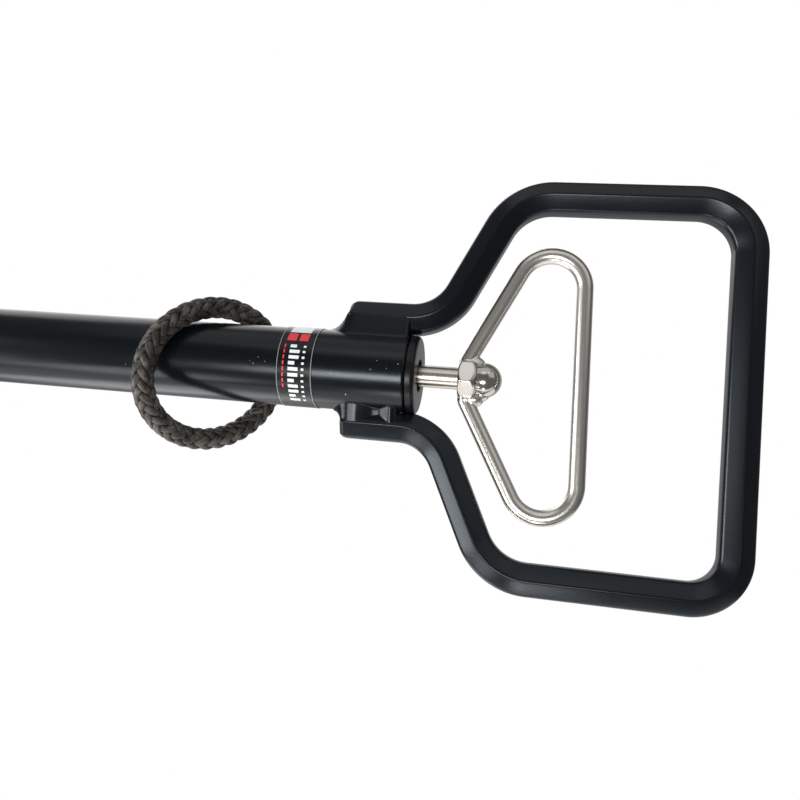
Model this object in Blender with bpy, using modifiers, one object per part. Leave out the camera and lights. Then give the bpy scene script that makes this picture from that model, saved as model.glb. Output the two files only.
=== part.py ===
"""Tuna landing clamp: a tube with a D-shaped handle, whose trigger pulls a rod that opens two jaws.

Metres, +Z up. The tube's axis is X, with the handle at +X and the jaws at -X, and the handle's
plane is XZ. The origin is the middle of the grip bar's outer flat, where the palm bears.
"""

import math

import bmesh
import bpy
from mathutils import Matrix, Vector

# Clearances
GAP = 0.0003  # between faces that touch
RUNNING = 0.00008  # on the radius of a pin or rod that moves in its hole
SIDES = 32  # of a turned piece

# Handle: one bent hexagonal bar, with a corner of the hexagon towards each side
BAR_FLATS = 0.0116
HANDLE_DEPTH = 0.1134  # from the plug's face to the grip bar's centreline
HANDLE_HALF_HEIGHT = 0.0695  # to the centreline of the long bars
SLOPE_DEG = 64.2  # of the bars that lead from the tube to the long bars
SLOPE_X_AT_40 = 0.0167  # from the plug's face, where the sloping centreline is 40 mm from the axis
UPPER_FOOT_LENGTH = 0.0281  # of the bar's feet beside the tube, from the plug's face
LOWER_FOOT_LENGTH = 0.0271
UPPER_FOOT_Z = 0.0208
LOWER_FOOT_Z = 0.0196
KNEE_RADIUS = 0.020
SHOULDER_RADIUS = 0.0215
UPPER_CORNER_RADIUS = 0.0185
LOWER_CORNER_RADIUS = 0.0155

# Welds of the feet: distance from the plug's face, top, half widths at the top and at the tube
UPPER_WELD = (
    (0.0358, 0.0154, 0.0010, 0.0026),
    (0.0332, 0.0162, 0.0022, 0.0050),
    (0.0308, 0.0182, 0.0040, 0.0070),
    (0.0292, 0.0208, 0.0048, 0.0080),
    (0.0280, 0.0238, 0.0052, 0.0083),
    (0.0088, 0.0226, 0.0056, 0.0082),
    (0.0066, 0.0215, 0.0050, 0.0064),
)
LOWER_WELD = (
    (0.0325, 0.0154, 0.0012, 0.0028),
    (0.0303, 0.0162, 0.0028, 0.0050),
    (0.0284, 0.0180, 0.0042, 0.0064),
    (0.0270, 0.0206, 0.0050, 0.0070),
    (0.0095, 0.0215, 0.0052, 0.0070),
    (0.0080, 0.0205, 0.0046, 0.0056),
)

# Main tube and the plug in its rear end
TUBE_RADIUS = 0.015
TUBE_WALL = 0.0015
PLUG_RADIUS = 0.01466
PLUG_FLANGE = 0.0031
PLUG_DEPTH = 0.026
PLUG_BORE_RADIUS = 0.0061
RIM_ROUNDING = 0.0010
PLUG_CHAMFER = 0.0018

# Rod, nut and trigger
ROD_RADIUS = 0.0041
NUT_START = 0.0148  # from the plug's face
NUT_LENGTH = 0.0157
NUT_HEX_LENGTH = 0.0068
NUT_FLATS = 0.0135
NUT_TURN_DEG = 12.5
DOME_RADIUS = 0.0064
WIRE_RADIUS = 0.00295
TRIGGER_BAR_X = 0.0587  # from the plug's face
TRIGGER_APEX_X = 0.0137  # where the legs' centrelines meet, from the plug's face
TRIGGER_BEND = 0.01225
LEG_DEG = 62.05
TRIGGER_TURN_DEG = 1.6  # the trigger is welded on slightly out of square
TRIGGER_TURN_X = 0.044

# Spring on the rod
SPRING_WIRE_RADIUS = 0.001
SPRING_MEAN_RADIUS = 0.0095
SPRING_LENGTH = 0.082
SPRING_TURNS = 12
COLLAR_LENGTH = 0.010
COLLAR_RADIUS = 0.012
CROSS_PIN_RADIUS = 0.0015

# Jaws and their drive
OVERALL_LENGTH = 1.000
JAW_REACH = 0.097  # from a pivot to its jaw's tip
STROKE = 0.025  # of the rod
JAW_OPENING_DEG = 25.0  # of each jaw at full stroke
PIVOT_HALF_SPACING = 0.011
PIN_OFFSET = 0.014  # from the pivots to the crosshead pin at rest
PIVOT_RADIUS = 0.003
DRIVE_PIN_RADIUS = 0.0025
JAW_THICKNESS = 0.004
JAW_OFFSET = 0.00015  # from the middle plane to each jaw
TAIL_HALF_WIDTH = 0.0055
BOSS_RADIUS = 0.0095
ARM_REACH = 0.091
ARM_BULGE = 0.018
ARM_ROOT_HALF_WIDTH = 0.0085
ARM_TIP_HALF_WIDTH = 0.0045
BITE_LENGTH = 0.014
BITE_HEIGHT = 0.004
YOKE_INNER = 0.0046
YOKE_OUTER = 0.0076
YOKE_HALF_HEIGHT = 0.0065
YOKE_WEB_START = 0.0475  # from the pivots
YOKE_WEB = 0.010
LOCK_NUT_HEIGHT = 0.0045
LOCK_NUT_FLATS = 0.013
CHEEK_INNER = 0.0080
CHEEK_THICKNESS = 0.003
NOSE_START = 0.0885  # from the pivots
NOSE_LENGTH = 0.0145
NOSE_HALF_HEIGHT = 0.013
SOCKET_FLANGE = 0.004
SPIGOT_LENGTH = 0.026
BUSH_RADIUS = 0.006
SCREW_RADIUS = 0.002
SCREW_HEAD_RADIUS = 0.0036
SCREW_HEAD_HEIGHT = 0.0022
SCREW_Z = 0.0095  # of the cheek screws

# Label and rope ring
LABEL_START = 0.0372  # from the plug's face to the band's near edge
LABEL_WIDTH = 0.0136
LABEL_THICKNESS = 0.00015
ROPE_RADIUS = 0.0041
RING_CENTRE = (-0.0805, -0.0009)  # from the plug's face and from the middle plane
RING_HALF_WIDTH = 0.0275
RING_HALF_HEIGHT = 0.0261
RING_YAW_DEG = 39.2
RING_SLANT = 0.15  # sideways shift of the oval for each unit of height

# Places that follow from them
PLUG_FACE_X = -BAR_FLATS / 2 - HANDLE_DEPTH
TUBE_REAR_X = PLUG_FACE_X - PLUG_FLANGE - GAP
PLUG_INNER_X = TUBE_REAR_X - PLUG_DEPTH
PIVOT_X = JAW_REACH - OVERALL_LENGTH
SOCKET_X = PIVOT_X + NOSE_START + NOSE_LENGTH  # nose block's rear, which is the flange's front
TUBE_FRONT_X = SOCKET_X + SOCKET_FLANGE + GAP
DRIVE_PIN_X = PIVOT_X + PIN_OFFSET
SCREW_X = PIVOT_X + NOSE_START + NOSE_LENGTH / 2

# Finishes: colour, roughness, metallic
BLACK_COAT = ((0.012, 0.012, 0.013), 0.38, 0.2)
BLACK_PLASTIC = ((0.020, 0.018, 0.020), 0.50, 0.0)
WHITE_PLASTIC = ((0.70, 0.69, 0.66), 0.45, 0.0)
POLISHED_STEEL = ((0.62, 0.60, 0.57), 0.12, 1.0)
BRUSHED_STEEL = ((0.55, 0.54, 0.52), 0.28, 1.0)
SPRING_STEEL = ((0.40, 0.39, 0.37), 0.30, 1.0)
LABEL_FILM = ((0.015, 0.015, 0.015), 0.30, 0.0)
ROPE_BRAID = ((0.045, 0.040, 0.037), 0.85, 0.0)


def clear_scene():
    """Removes the start-up objects and makes the two collections."""
    for item in list(bpy.data.objects):
        bpy.data.objects.remove(item, do_unlink=True)
    made = []
    for name in ("tuna_landing_clamp", "cutters"):
        collection = bpy.data.collections.new(name)
        bpy.context.scene.collection.children.link(collection)
        made.append(collection)
    return made


PARTS, CUTTERS = clear_scene()


def add(name, mesh, finish):
    """A new part with its own material, shaded smooth up to 35 degrees."""
    colour, roughness, metallic = finish
    material = bpy.data.materials.new(name)
    material.use_nodes = True
    shader = material.node_tree.nodes["Principled BSDF"]
    shader.inputs["Base Color"].default_value = (*colour, 1.0)
    shader.inputs["Roughness"].default_value = roughness
    shader.inputs["Metallic"].default_value = metallic
    mesh.materials.append(material)
    if mesh.polygons:
        mesh.shade_smooth()
        mesh.set_sharp_from_angle(angle=math.radians(35))
    part = bpy.data.objects.new(name, mesh)
    PARTS.objects.link(part)
    return part


def add_cutter(name, mesh):
    """A new cutter, shown as a wire and left out of the render."""
    cutter = bpy.data.objects.new(name, mesh)
    cutter.hide_render = True
    cutter.display_type = "WIRE"
    CUTTERS.objects.link(cutter)
    return cutter


def combine(part, other, operation):
    """Adds a Boolean modifier that joins, cuts or intersects a part with another mesh."""
    modifier = part.modifiers.new(operation.title(), "BOOLEAN")
    modifier.operation = operation
    modifier.object = other
    modifier.solver = "EXACT"


def turned_mesh(name, profile):
    """The profile of a turned piece about X: (x, radius) corners that run towards +X on the outside.

    The profile closes on itself, unless its first and last corners lie on the axis.
    """
    corners = [(x, 0.0, radius) for x, radius in profile]
    edges = [(i, i + 1) for i in range(len(corners) - 1)]
    if profile[0][1] > 0:
        edges.append((len(corners) - 1, 0))
    mesh = bpy.data.meshes.new(name)
    mesh.from_pydata(corners, edges, [])
    return mesh


def spin(piece, sides):
    """Turns a profile about the X axis."""
    screw = piece.modifiers.new("Turn", "SCREW")
    screw.axis = "X"
    screw.steps = sides
    screw.render_steps = sides
    screw.use_merge_vertices = True
    screw.merge_threshold = 0.00001
    screw.use_normal_flip = True
    screw.use_smooth_shade = True


def turned(name, profile, finish, sides=SIDES):
    """A turned part about the X axis."""
    part = add(name, turned_mesh(name, profile), finish)
    spin(part, sides)
    return part


def ring_profile(start, end, inner, outer):
    """The profile of a plain ring or bush."""
    return [(start, outer), (end, outer), (end, inner), (start, inner)]


def round_cutter(name, centre, direction, radius, length, sides=24):
    """A cylinder that cuts a hole, centred at a point and lying along a direction."""
    shape = bmesh.new()
    bmesh.ops.create_cone(
        shape, cap_ends=True, segments=sides, radius1=radius, radius2=radius, depth=length
    )
    turn = Vector(direction).to_track_quat("Z", "Y").to_matrix().to_4x4()
    shape.transform(Matrix.Translation(centre) @ turn)
    mesh = bpy.data.meshes.new(name)
    shape.to_mesh(mesh)
    shape.free()
    return add_cutter(name, mesh)


def box_mesh(name, low, high):
    """A box between two corners."""
    shape = bmesh.new()
    bmesh.ops.create_cube(shape, size=1.0)
    low, high = Vector(low), Vector(high)
    size = Matrix.Diagonal((*(high - low), 1.0))
    shape.transform(Matrix.Translation((low + high) / 2) @ size)
    mesh = bpy.data.meshes.new(name)
    shape.to_mesh(mesh)
    shape.free()
    return mesh


def plate_mesh(name, outlines, y_low, y_high):
    """A flat plate in the XZ plane from closed outlines, the first of which is the outer one."""
    curve = bpy.data.curves.new(name, "CURVE")
    curve.dimensions = "2D"
    curve.fill_mode = "BOTH"
    curve.extrude = (y_high - y_low) / 2
    for outline in outlines:
        spline = curve.splines.new("POLY")
        spline.points.add(len(outline) - 1)
        for point, (x, z) in zip(spline.points, outline):
            point.co = (x, z, 0.0, 1.0)
        spline.use_cyclic_u = True
    upright = Matrix.Translation((0, (y_low + y_high) / 2, 0)) @ Matrix.Rotation(math.pi / 2, 4, "X")
    return curve_mesh(name, curve, upright)


def curve_mesh(name, curve, place=Matrix.Identity(4)):
    """The welded mesh of a curve, moved to its place."""
    holder = bpy.data.objects.new(name, curve)
    PARTS.objects.link(holder)
    bpy.context.view_layer.update()
    graph = bpy.context.evaluated_depsgraph_get()
    mesh = bpy.data.meshes.new_from_object(holder.evaluated_get(graph))
    bpy.data.objects.remove(holder)
    bpy.data.curves.remove(curve)
    shape = bmesh.new()
    shape.from_mesh(mesh)
    bmesh.ops.remove_doubles(shape, verts=shape.verts, dist=0.000001)
    bmesh.ops.recalc_face_normals(shape, faces=shape.faces)
    shape.transform(place)
    shape.to_mesh(mesh)
    shape.free()
    mesh.materials.clear()
    return mesh


def tube_mesh(name, path, radius, resolution, closed=False):
    """A round wire or rope along points."""
    curve = bpy.data.curves.new(name, "CURVE")
    curve.dimensions = "3D"
    curve.bevel_depth = radius
    curve.bevel_resolution = resolution
    curve.use_fill_caps = not closed
    spline = curve.splines.new("POLY")
    spline.points.add(len(path) - 1)
    for point, place in zip(spline.points, path):
        point.co = (*place, 1.0)
    spline.use_cyclic_u = closed
    return curve_mesh(name, curve)


def arc(centre, radius, start_deg, end_deg, steps):
    """Points of an arc in a plane, both ends included."""
    return [
        (
            centre[0] + radius * math.cos(math.radians(start_deg + (end_deg - start_deg) * i / steps)),
            centre[1] + radius * math.sin(math.radians(start_deg + (end_deg - start_deg) * i / steps)),
        )
        for i in range(steps + 1)
    ]


def filleted(corners, radii, step_deg=9.0):
    """An open path through corners in a plane, each inner corner rounded with its own radius."""
    path = [corners[0]]
    for before, corner, after, radius in zip(corners, corners[1:], corners[2:], radii):
        here = Vector(corner)
        back = (Vector(before) - here).normalized()
        on = (Vector(after) - here).normalized()
        half = back.angle(on) / 2
        turn = math.pi - 2 * half
        centre = here + (back + on).normalized() * (radius / math.sin(half))
        first = here + back * (radius / math.tan(half)) - centre
        side = 1.0 if back.x * on.y - back.y * on.x < 0 else -1.0
        count = max(2, round(math.degrees(turn) / step_deg))
        for i in range(count + 1):
            angle = side * turn * i / count
            path.append(
                (
                    centre.x + first.x * math.cos(angle) - first.y * math.sin(angle),
                    centre.y + first.x * math.sin(angle) + first.y * math.cos(angle),
                )
            )
    path.append(corners[-1])
    return path


def swept_mesh(name, path, section):
    """A section of (sideways, outward) corners swept along an open path in the XZ plane."""
    shape = bmesh.new()
    rings = []
    points = [Vector(point) for point in path]
    for i, point in enumerate(points):
        way = Vector((0, 0))
        if i > 0:
            way += (point - points[i - 1]).normalized()
        if i < len(points) - 1:
            way += (points[i + 1] - point).normalized()
        half = 1.0 if i in (0, len(points) - 1) else way.length / 2
        out = Vector((way.y, -way.x)).normalized() / half
        places = [(point.x + out.x * b, a, point.y + out.y * b) for a, b in section]
        rings.append([shape.verts.new(place) for place in places])
    for ring, following in zip(rings, rings[1:]):
        for i in range(len(ring)):
            j = (i + 1) % len(ring)
            shape.faces.new((ring[i], ring[j], following[j], following[i]))
    shape.faces.new(rings[0])
    shape.faces.new(rings[-1])
    bmesh.ops.recalc_face_normals(shape, faces=shape.faces)
    mesh = bpy.data.meshes.new(name)
    shape.to_mesh(mesh)
    shape.free()
    return mesh


def make_tube():
    """The main tube, with a rounded rear rim and two holes for the head's set screws."""
    inner = TUBE_RADIUS - TUBE_WALL
    rim = [
        (TUBE_REAR_X - RIM_ROUNDING + x, TUBE_RADIUS - RIM_ROUNDING + radius)
        for radius, x in arc((0, 0), RIM_ROUNDING, 0, 90, 3)
    ]
    profile = [(TUBE_FRONT_X, TUBE_RADIUS), *rim, (TUBE_REAR_X, inner), (TUBE_FRONT_X, inner)]
    tube = turned("main_tube", profile, BLACK_COAT, 48)
    centre = (TUBE_FRONT_X + SPIGOT_LENGTH / 2, 0, 0)
    drill = round_cutter("set_screw_holes", centre, (0, 0, 1), SCREW_RADIUS + GAP / 2, 0.04)
    combine(tube, drill, "DIFFERENCE")


def handle_corners():
    """The corners of the handle's centreline, in the XZ plane, from the lower foot to the upper one."""
    tangent = math.tan(math.radians(SLOPE_DEG))
    sides = []
    feet = ((-1, LOWER_FOOT_Z, LOWER_FOOT_LENGTH), (1, UPPER_FOOT_Z, UPPER_FOOT_LENGTH))
    for side, foot_z, foot_length in feet:
        knee = PLUG_FACE_X + SLOPE_X_AT_40 + (foot_z - 0.040) / tangent
        shoulder = PLUG_FACE_X + SLOPE_X_AT_40 + (HANDLE_HALF_HEIGHT - 0.040) / tangent
        foot = PLUG_FACE_X - foot_length
        heights = (HANDLE_HALF_HEIGHT, HANDLE_HALF_HEIGHT, foot_z, foot_z)
        sides.append([(x, side * z) for x, z in zip((-BAR_FLATS / 2, shoulder, knee, foot), heights)])
    return sides[0][::-1] + sides[1]


def make_handle():
    """The handle's hexagonal bar, with both feet cut back at an angle and joined to their welds."""
    lower = [KNEE_RADIUS, SHOULDER_RADIUS, LOWER_CORNER_RADIUS]
    upper = [UPPER_CORNER_RADIUS, SHOULDER_RADIUS, KNEE_RADIUS]
    path = filleted(handle_corners(), lower + upper)
    reach = BAR_FLATS / math.sqrt(3)
    turns = [math.radians(60 * i) for i in range(6)]
    section = [(reach * math.cos(turn), reach * math.sin(turn)) for turn in turns]
    mesh = swept_mesh("handle_frame", path, section)
    handle = add("handle_frame", mesh, BLACK_COAT)
    cuts = (
        ("upper_foot_cut", UPPER_FOOT_Z, UPPER_FOOT_LENGTH, 0.0026),
        ("lower_foot_cut", -LOWER_FOOT_Z, LOWER_FOOT_LENGTH, 0.0014),
    )
    for name, z, length, depth in cuts:
        outer = z + math.copysign(BAR_FLATS / 2, z)
        corner = add_cutter(name, box_mesh(name, (-0.01, -0.01, -depth / 2), (0.01, 0.01, depth / 2)))
        corner.rotation_euler = (0, math.copysign(math.pi / 4, -z), 0)
        corner.location = (PLUG_FACE_X - length, 0, outer)
        combine(handle, corner, "DIFFERENCE")
    for name, side, rings in (("upper_weld", 1, UPPER_WELD), ("lower_weld", -1, LOWER_WELD)):
        combine(handle, weld_bead(name, side, rings), "UNION")
    middle = PLUG_FACE_X + GAP - 0.05
    room = round_cutter("tube_room", (middle, 0, 0), (1, 0, 0), TUBE_RADIUS + GAP, 0.1, 96)
    combine(handle, room, "DIFFERENCE")


def weld_bead(name, side, rings):
    """The weld between the tube and one foot of the handle, lofted through rings.

    A ring is its distance from the plug's face, its top and its half widths at the top and the base.
    Its underside reaches into the tube's room, which is cut out afterwards.
    """
    under = TUBE_RADIUS
    low = under - 0.0015
    shape = bmesh.new()
    loops = []
    for back, top, half_top, half_base in rings:
        base = math.sqrt(under**2 - half_base**2)
        flank = []
        for i in range(4):
            share = i / 4
            spread = share ** (0.6 if side > 0 else 1.4)
            flank.append((half_top + (half_base - half_top) * spread, top + (base - top) * share))
        edge = math.asin(half_base / under)
        bed = [(under * math.sin(edge), base), (low * math.sin(edge), low * math.cos(edge)), (0, low)]
        bed += [(-y, z) for y, z in reversed(bed[:2])]
        section = [*flank, *bed, *[(-y, z) for y, z in reversed(flank)]]
        loops.append([shape.verts.new((PLUG_FACE_X - back, y, side * z)) for y, z in section])
    for ring, following in zip(loops, loops[1:]):
        for i in range(len(ring)):
            j = (i + 1) % len(ring)
            shape.faces.new((ring[i], ring[j], following[j], following[i]))
    shape.faces.new(loops[0])
    shape.faces.new(loops[-1])
    bmesh.ops.recalc_face_normals(shape, faces=shape.faces)
    mesh = bpy.data.meshes.new(name)
    shape.to_mesh(mesh)
    shape.free()
    return add_cutter(name, mesh)


def make_plug():
    """The plug in the tube's rear end, its guide bush and the spring's seat behind them."""
    body = TUBE_RADIUS - TUBE_WALL - 0.0002
    flange_x = PLUG_FACE_X - PLUG_FLANGE
    profile = [
        (PLUG_INNER_X, body),
        (flange_x, body),
        (flange_x, PLUG_RADIUS),
        (PLUG_FACE_X - PLUG_CHAMFER, PLUG_RADIUS),
        (PLUG_FACE_X - PLUG_CHAMFER * 0.3, PLUG_RADIUS - PLUG_CHAMFER * 0.3),
        (PLUG_FACE_X, PLUG_RADIUS - PLUG_CHAMFER),
        (PLUG_FACE_X, PLUG_BORE_RADIUS),
        (PLUG_INNER_X, PLUG_BORE_RADIUS),
    ]
    turned("end_plug", profile, BLACK_PLASTIC, 48)
    flange_rear = PLUG_INNER_X - GAP
    flange_front = flange_rear - 0.002
    shank = PLUG_BORE_RADIUS - 0.0001
    bore = ROD_RADIUS + RUNNING
    profile = [
        (flange_front, 0.009),
        (flange_rear, 0.009),
        (flange_rear, shank),
        (PLUG_INNER_X + 0.014, shank),
        (PLUG_INNER_X + 0.014, bore),
        (flange_front, bore),
    ]
    turned("rod_guide_bush", profile, WHITE_PLASTIC)
    seat_rear = flange_front - GAP
    seat_front = seat_rear - 0.0015
    turned("spring_seat", ring_profile(seat_front, seat_rear, ROD_RADIUS + GAP, 0.0125), BRUSHED_STEEL)
    return seat_front


def least_self_gap(path, diameter, apart):
    """The least clear distance between stretches of a wire that are some points apart."""
    points = [Vector(place) for place in path]
    least = min(
        (first - second).length
        for i, first in enumerate(points)
        for second in points[i + apart :]
    )
    return least - diameter


def make_spring(seat_x):
    """The return spring, and the collar on the rod that it pushes against."""
    start = seat_x - GAP - SPRING_WIRE_RADIUS
    end = seat_x - SPRING_LENGTH + GAP + SPRING_WIRE_RADIUS
    count = SPRING_TURNS * 10
    path = []
    for i in range(count + 1):
        angle = 2 * math.pi * SPRING_TURNS * i / count
        x = start + (end - start) * i / count
        path.append((x, SPRING_MEAN_RADIUS * math.cos(angle), SPRING_MEAN_RADIUS * math.sin(angle)))
    add("return_spring", tube_mesh("return_spring", path, SPRING_WIRE_RADIUS, 1), SPRING_STEEL)
    least = least_self_gap(path, 2 * SPRING_WIRE_RADIUS, 6)
    print(f"return spring: least gap between turns {least * 1000:.2f} mm")
    collar_rear = seat_x - SPRING_LENGTH
    collar_front = collar_rear - COLLAR_LENGTH
    profile = ring_profile(collar_front, collar_rear, ROD_RADIUS + 0.0001, COLLAR_RADIUS)
    collar = turned("spring_collar", profile, BRUSHED_STEEL)
    centre = (collar_rear - COLLAR_LENGTH / 2, 0, 0)
    drill = round_cutter("collar_pin_hole", centre, (0, 0, 1), CROSS_PIN_RADIUS + 0.0001, 0.03, 16)
    combine(collar, drill, "DIFFERENCE")
    half = COLLAR_RADIUS - 0.0005
    profile = [(-half, 0), (-half, CROSS_PIN_RADIUS), (half, CROSS_PIN_RADIUS), (half, 0)]
    pin = turned("collar_pin", profile, SPRING_STEEL, 16)
    pin.rotation_euler = (0, math.pi / 2, 0)
    pin.location = centre
    return drill


def make_rod(drill):
    """The pull rod, from inside the dome nut to inside the yoke."""
    front = PIVOT_X + YOKE_WEB_START + 0.001
    rear = PLUG_FACE_X + NUT_START + 0.0095
    chamfer = 0.0006
    profile = [
        (front, 0),
        (front, ROD_RADIUS - chamfer),
        (front + chamfer, ROD_RADIUS),
        (rear - chamfer, ROD_RADIUS),
        (rear, ROD_RADIUS - chamfer),
        (rear, 0),
    ]
    rod = turned("pull_rod", profile, POLISHED_STEEL)
    combine(rod, drill, "DIFFERENCE")


def hexagon_prism(name, start, end, flats, turn_deg=0.0, finish=None):
    """A hexagonal prism along X, a corner near each side: a part or, with no finish, a cutter."""
    shape = bmesh.new()
    reach, depth = flats / math.sqrt(3), end - start
    bmesh.ops.create_cone(
        shape, cap_ends=True, segments=6, radius1=reach, radius2=reach, depth=depth
    )
    turn = Matrix.Rotation(math.radians(turn_deg), 4, "X") @ Matrix.Rotation(math.pi / 2, 4, "Y")
    shape.transform(Matrix.Translation(((start + end) / 2, 0, 0)) @ turn)
    mesh = bpy.data.meshes.new(name)
    shape.to_mesh(mesh)
    shape.free()
    return add(name, mesh, finish) if finish else add_cutter(name, mesh)


def make_nut():
    """The dome nut: a chamfered hexagon and a round dome, with a blind hole for the rod."""
    start = PLUG_FACE_X + NUT_START
    hexagon_end = start + NUT_HEX_LENGTH
    reach = NUT_FLATS / math.sqrt(3)
    nut = hexagon_prism("dome_nut", start, hexagon_end, NUT_FLATS, NUT_TURN_DEG, POLISHED_STEEL)
    chamfers = [
        (start, 0),
        (start, 0.0069),
        (start + 0.0005, reach),
        (hexagon_end - 0.0017, reach),
        (hexagon_end, 0.0060),
        (hexagon_end, 0),
    ]
    limit = add_cutter("nut_chamfers", turned_mesh("nut_chamfers", chamfers))
    spin(limit, SIDES)
    combine(nut, limit, "INTERSECT")
    centre = start + NUT_LENGTH - DOME_RADIUS
    dome_arc = arc((centre, 0), DOME_RADIUS, 90, 0, 7)
    dome_arc[-1] = (centre + DOME_RADIUS, 0)
    inside = hexagon_end - 0.002
    profile = [(inside, 0), (inside, 0.0058), (hexagon_end, 0.0058), *dome_arc]
    dome = add_cutter("nut_dome", turned_mesh("nut_dome", profile))
    spin(dome, SIDES)
    combine(nut, dome, "UNION")
    bore = round_cutter("nut_bore", (start, 0, 0), (1, 0, 0), ROD_RADIUS + 0.0001, 0.020)
    combine(nut, bore, "DIFFERENCE")
    return centre


def make_trigger(dome_centre):
    """The trigger's bent wire, with the weld at each of its ends on the nut."""
    slope = math.tan(math.radians(LEG_DEG))
    bar_x = PLUG_FACE_X + TRIGGER_BAR_X
    apex_x = PLUG_FACE_X + TRIGGER_APEX_X
    start_z = 0.0072
    start_x = apex_x + start_z / slope
    bend_z = slope * (bar_x - apex_x)
    corners = [(start_x, start_z), (bar_x, bend_z), (bar_x, -bend_z), (start_x, -start_z)]
    turn = math.radians(TRIGGER_TURN_DEG)
    middle = PLUG_FACE_X + TRIGGER_TURN_X
    path = []
    for x, z in filleted(corners, [TRIGGER_BEND, TRIGGER_BEND]):
        out = x - middle
        turned_x = middle + out * math.cos(turn) - z * math.sin(turn)
        path.append((turned_x, 0, out * math.sin(turn) + z * math.cos(turn)))
    mesh = tube_mesh("trigger_loop", path, WIRE_RADIUS, 3)
    trigger = add("trigger_loop", mesh, POLISHED_STEEL)
    for name, side, (x, _, z) in (("upper_bead", 1, path[0]), ("lower_bead", -1, path[-1])):
        shape = bmesh.new()
        bmesh.ops.create_uvsphere(shape, u_segments=14, v_segments=9, radius=1.0)
        size = Matrix.Diagonal((0.0034, 0.0036, 0.0030, 1.0))
        shape.transform(Matrix.Translation((x + 0.0015, 0, z + side * 0.0007)) @ size)
        bead = bpy.data.meshes.new(name)
        shape.to_mesh(bead)
        shape.free()
        combine(trigger, add_cutter(name, bead), "UNION")
    nut_start = PLUG_FACE_X + NUT_START
    nut_end = nut_start + NUT_HEX_LENGTH
    room = hexagon_prism("nut_room", nut_start - GAP, nut_end + GAP, NUT_FLATS + 2 * GAP, NUT_TURN_DEG)
    combine(trigger, room, "DIFFERENCE")
    dome_reach = DOME_RADIUS + GAP
    dome_room = round_cutter("dome_room", (dome_centre, 0, 0), (1, 0, 0), dome_reach, 0.008)
    combine(trigger, dome_room, "DIFFERENCE")


def make_label():
    """The plain band round the tube."""
    start = PLUG_FACE_X - LABEL_START
    inner = TUBE_RADIUS + 0.00004
    profile = ring_profile(start - LABEL_WIDTH, start, inner, inner + LABEL_THICKNESS)
    turned("label_sleeve", profile, LABEL_FILM, 48)


def ring_path(drop, count=44):
    """The rope ring's centreline: an upright oval, turned about the vertical, hung by its top."""
    yaw = math.radians(RING_YAW_DEG)
    path = []
    for i in range(count):
        angle = 2 * math.pi * i / count
        level = RING_HALF_HEIGHT * math.cos(angle)
        along = RING_HALF_WIDTH * math.sin(angle) + RING_SLANT * level
        x = PLUG_FACE_X + RING_CENTRE[0] + along * math.sin(yaw)
        path.append((x, RING_CENTRE[1] + along * math.cos(yaw), level - RING_HALF_HEIGHT - drop))
    return path


def make_rope_ring():
    """The endless rope ring, lowered until it hangs on the tube."""
    touch = TUBE_RADIUS + ROPE_RADIUS + GAP
    drop = -0.030
    while all(math.hypot(y, z) > touch for _, y, z in ring_path(drop + 0.00005) if z > 0):
        drop += 0.00005
    path = ring_path(drop)
    length = sum((Vector(a) - Vector(b)).length for a, b in zip(path, path[1:] + path[:1]))
    print(f"rope ring: {length * 1000:.0f} mm round, its top {path[0][2] * 1000:.1f} mm above the axis")
    add("rope_ring", tube_mesh("rope_ring", path, ROPE_RADIUS, 2, closed=True), ROPE_BRAID)


def drive_point(travel):
    """Where the crosshead pin lies in the upper jaw's own frame, from its pivot, after some travel."""
    angle = math.radians(JAW_OPENING_DEG) * travel / STROKE
    x, z = PIN_OFFSET + travel, -PIVOT_HALF_SPACING
    return Vector((x * math.cos(angle) - z * math.sin(angle), x * math.sin(angle) + z * math.cos(angle)))


def drive_slot(travels, half_width):
    """Both sides of a band along the pin's path in the jaw: the lower side and the upper side."""
    step = STROKE / 200
    lower, upper = [], []
    for travel in travels:
        way = (drive_point(travel + step) - drive_point(travel - step)).normalized()
        side = Vector((-way.y, way.x)) * half_width
        lower.append(tuple(drive_point(travel) - side))
        upper.append(tuple(drive_point(travel) + side))
    return lower, upper


def arm_edge(share, side):
    """A point of the jaw arm's edge from its pivot: side 1 is the outer edge and -1 the inner one."""
    along = math.pi * share
    centre = Vector((-ARM_REACH * share, ARM_BULGE * math.sin(along) - 0.003 * share))
    way = Vector((-ARM_REACH, ARM_BULGE * math.pi * math.cos(along) - 0.003)).normalized()
    width = ARM_ROOT_HALF_WIDTH + (ARM_TIP_HALF_WIDTH - ARM_ROOT_HALF_WIDTH) * share
    return tuple(centre + Vector((way.y, -way.x)) * width * side)


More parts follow.
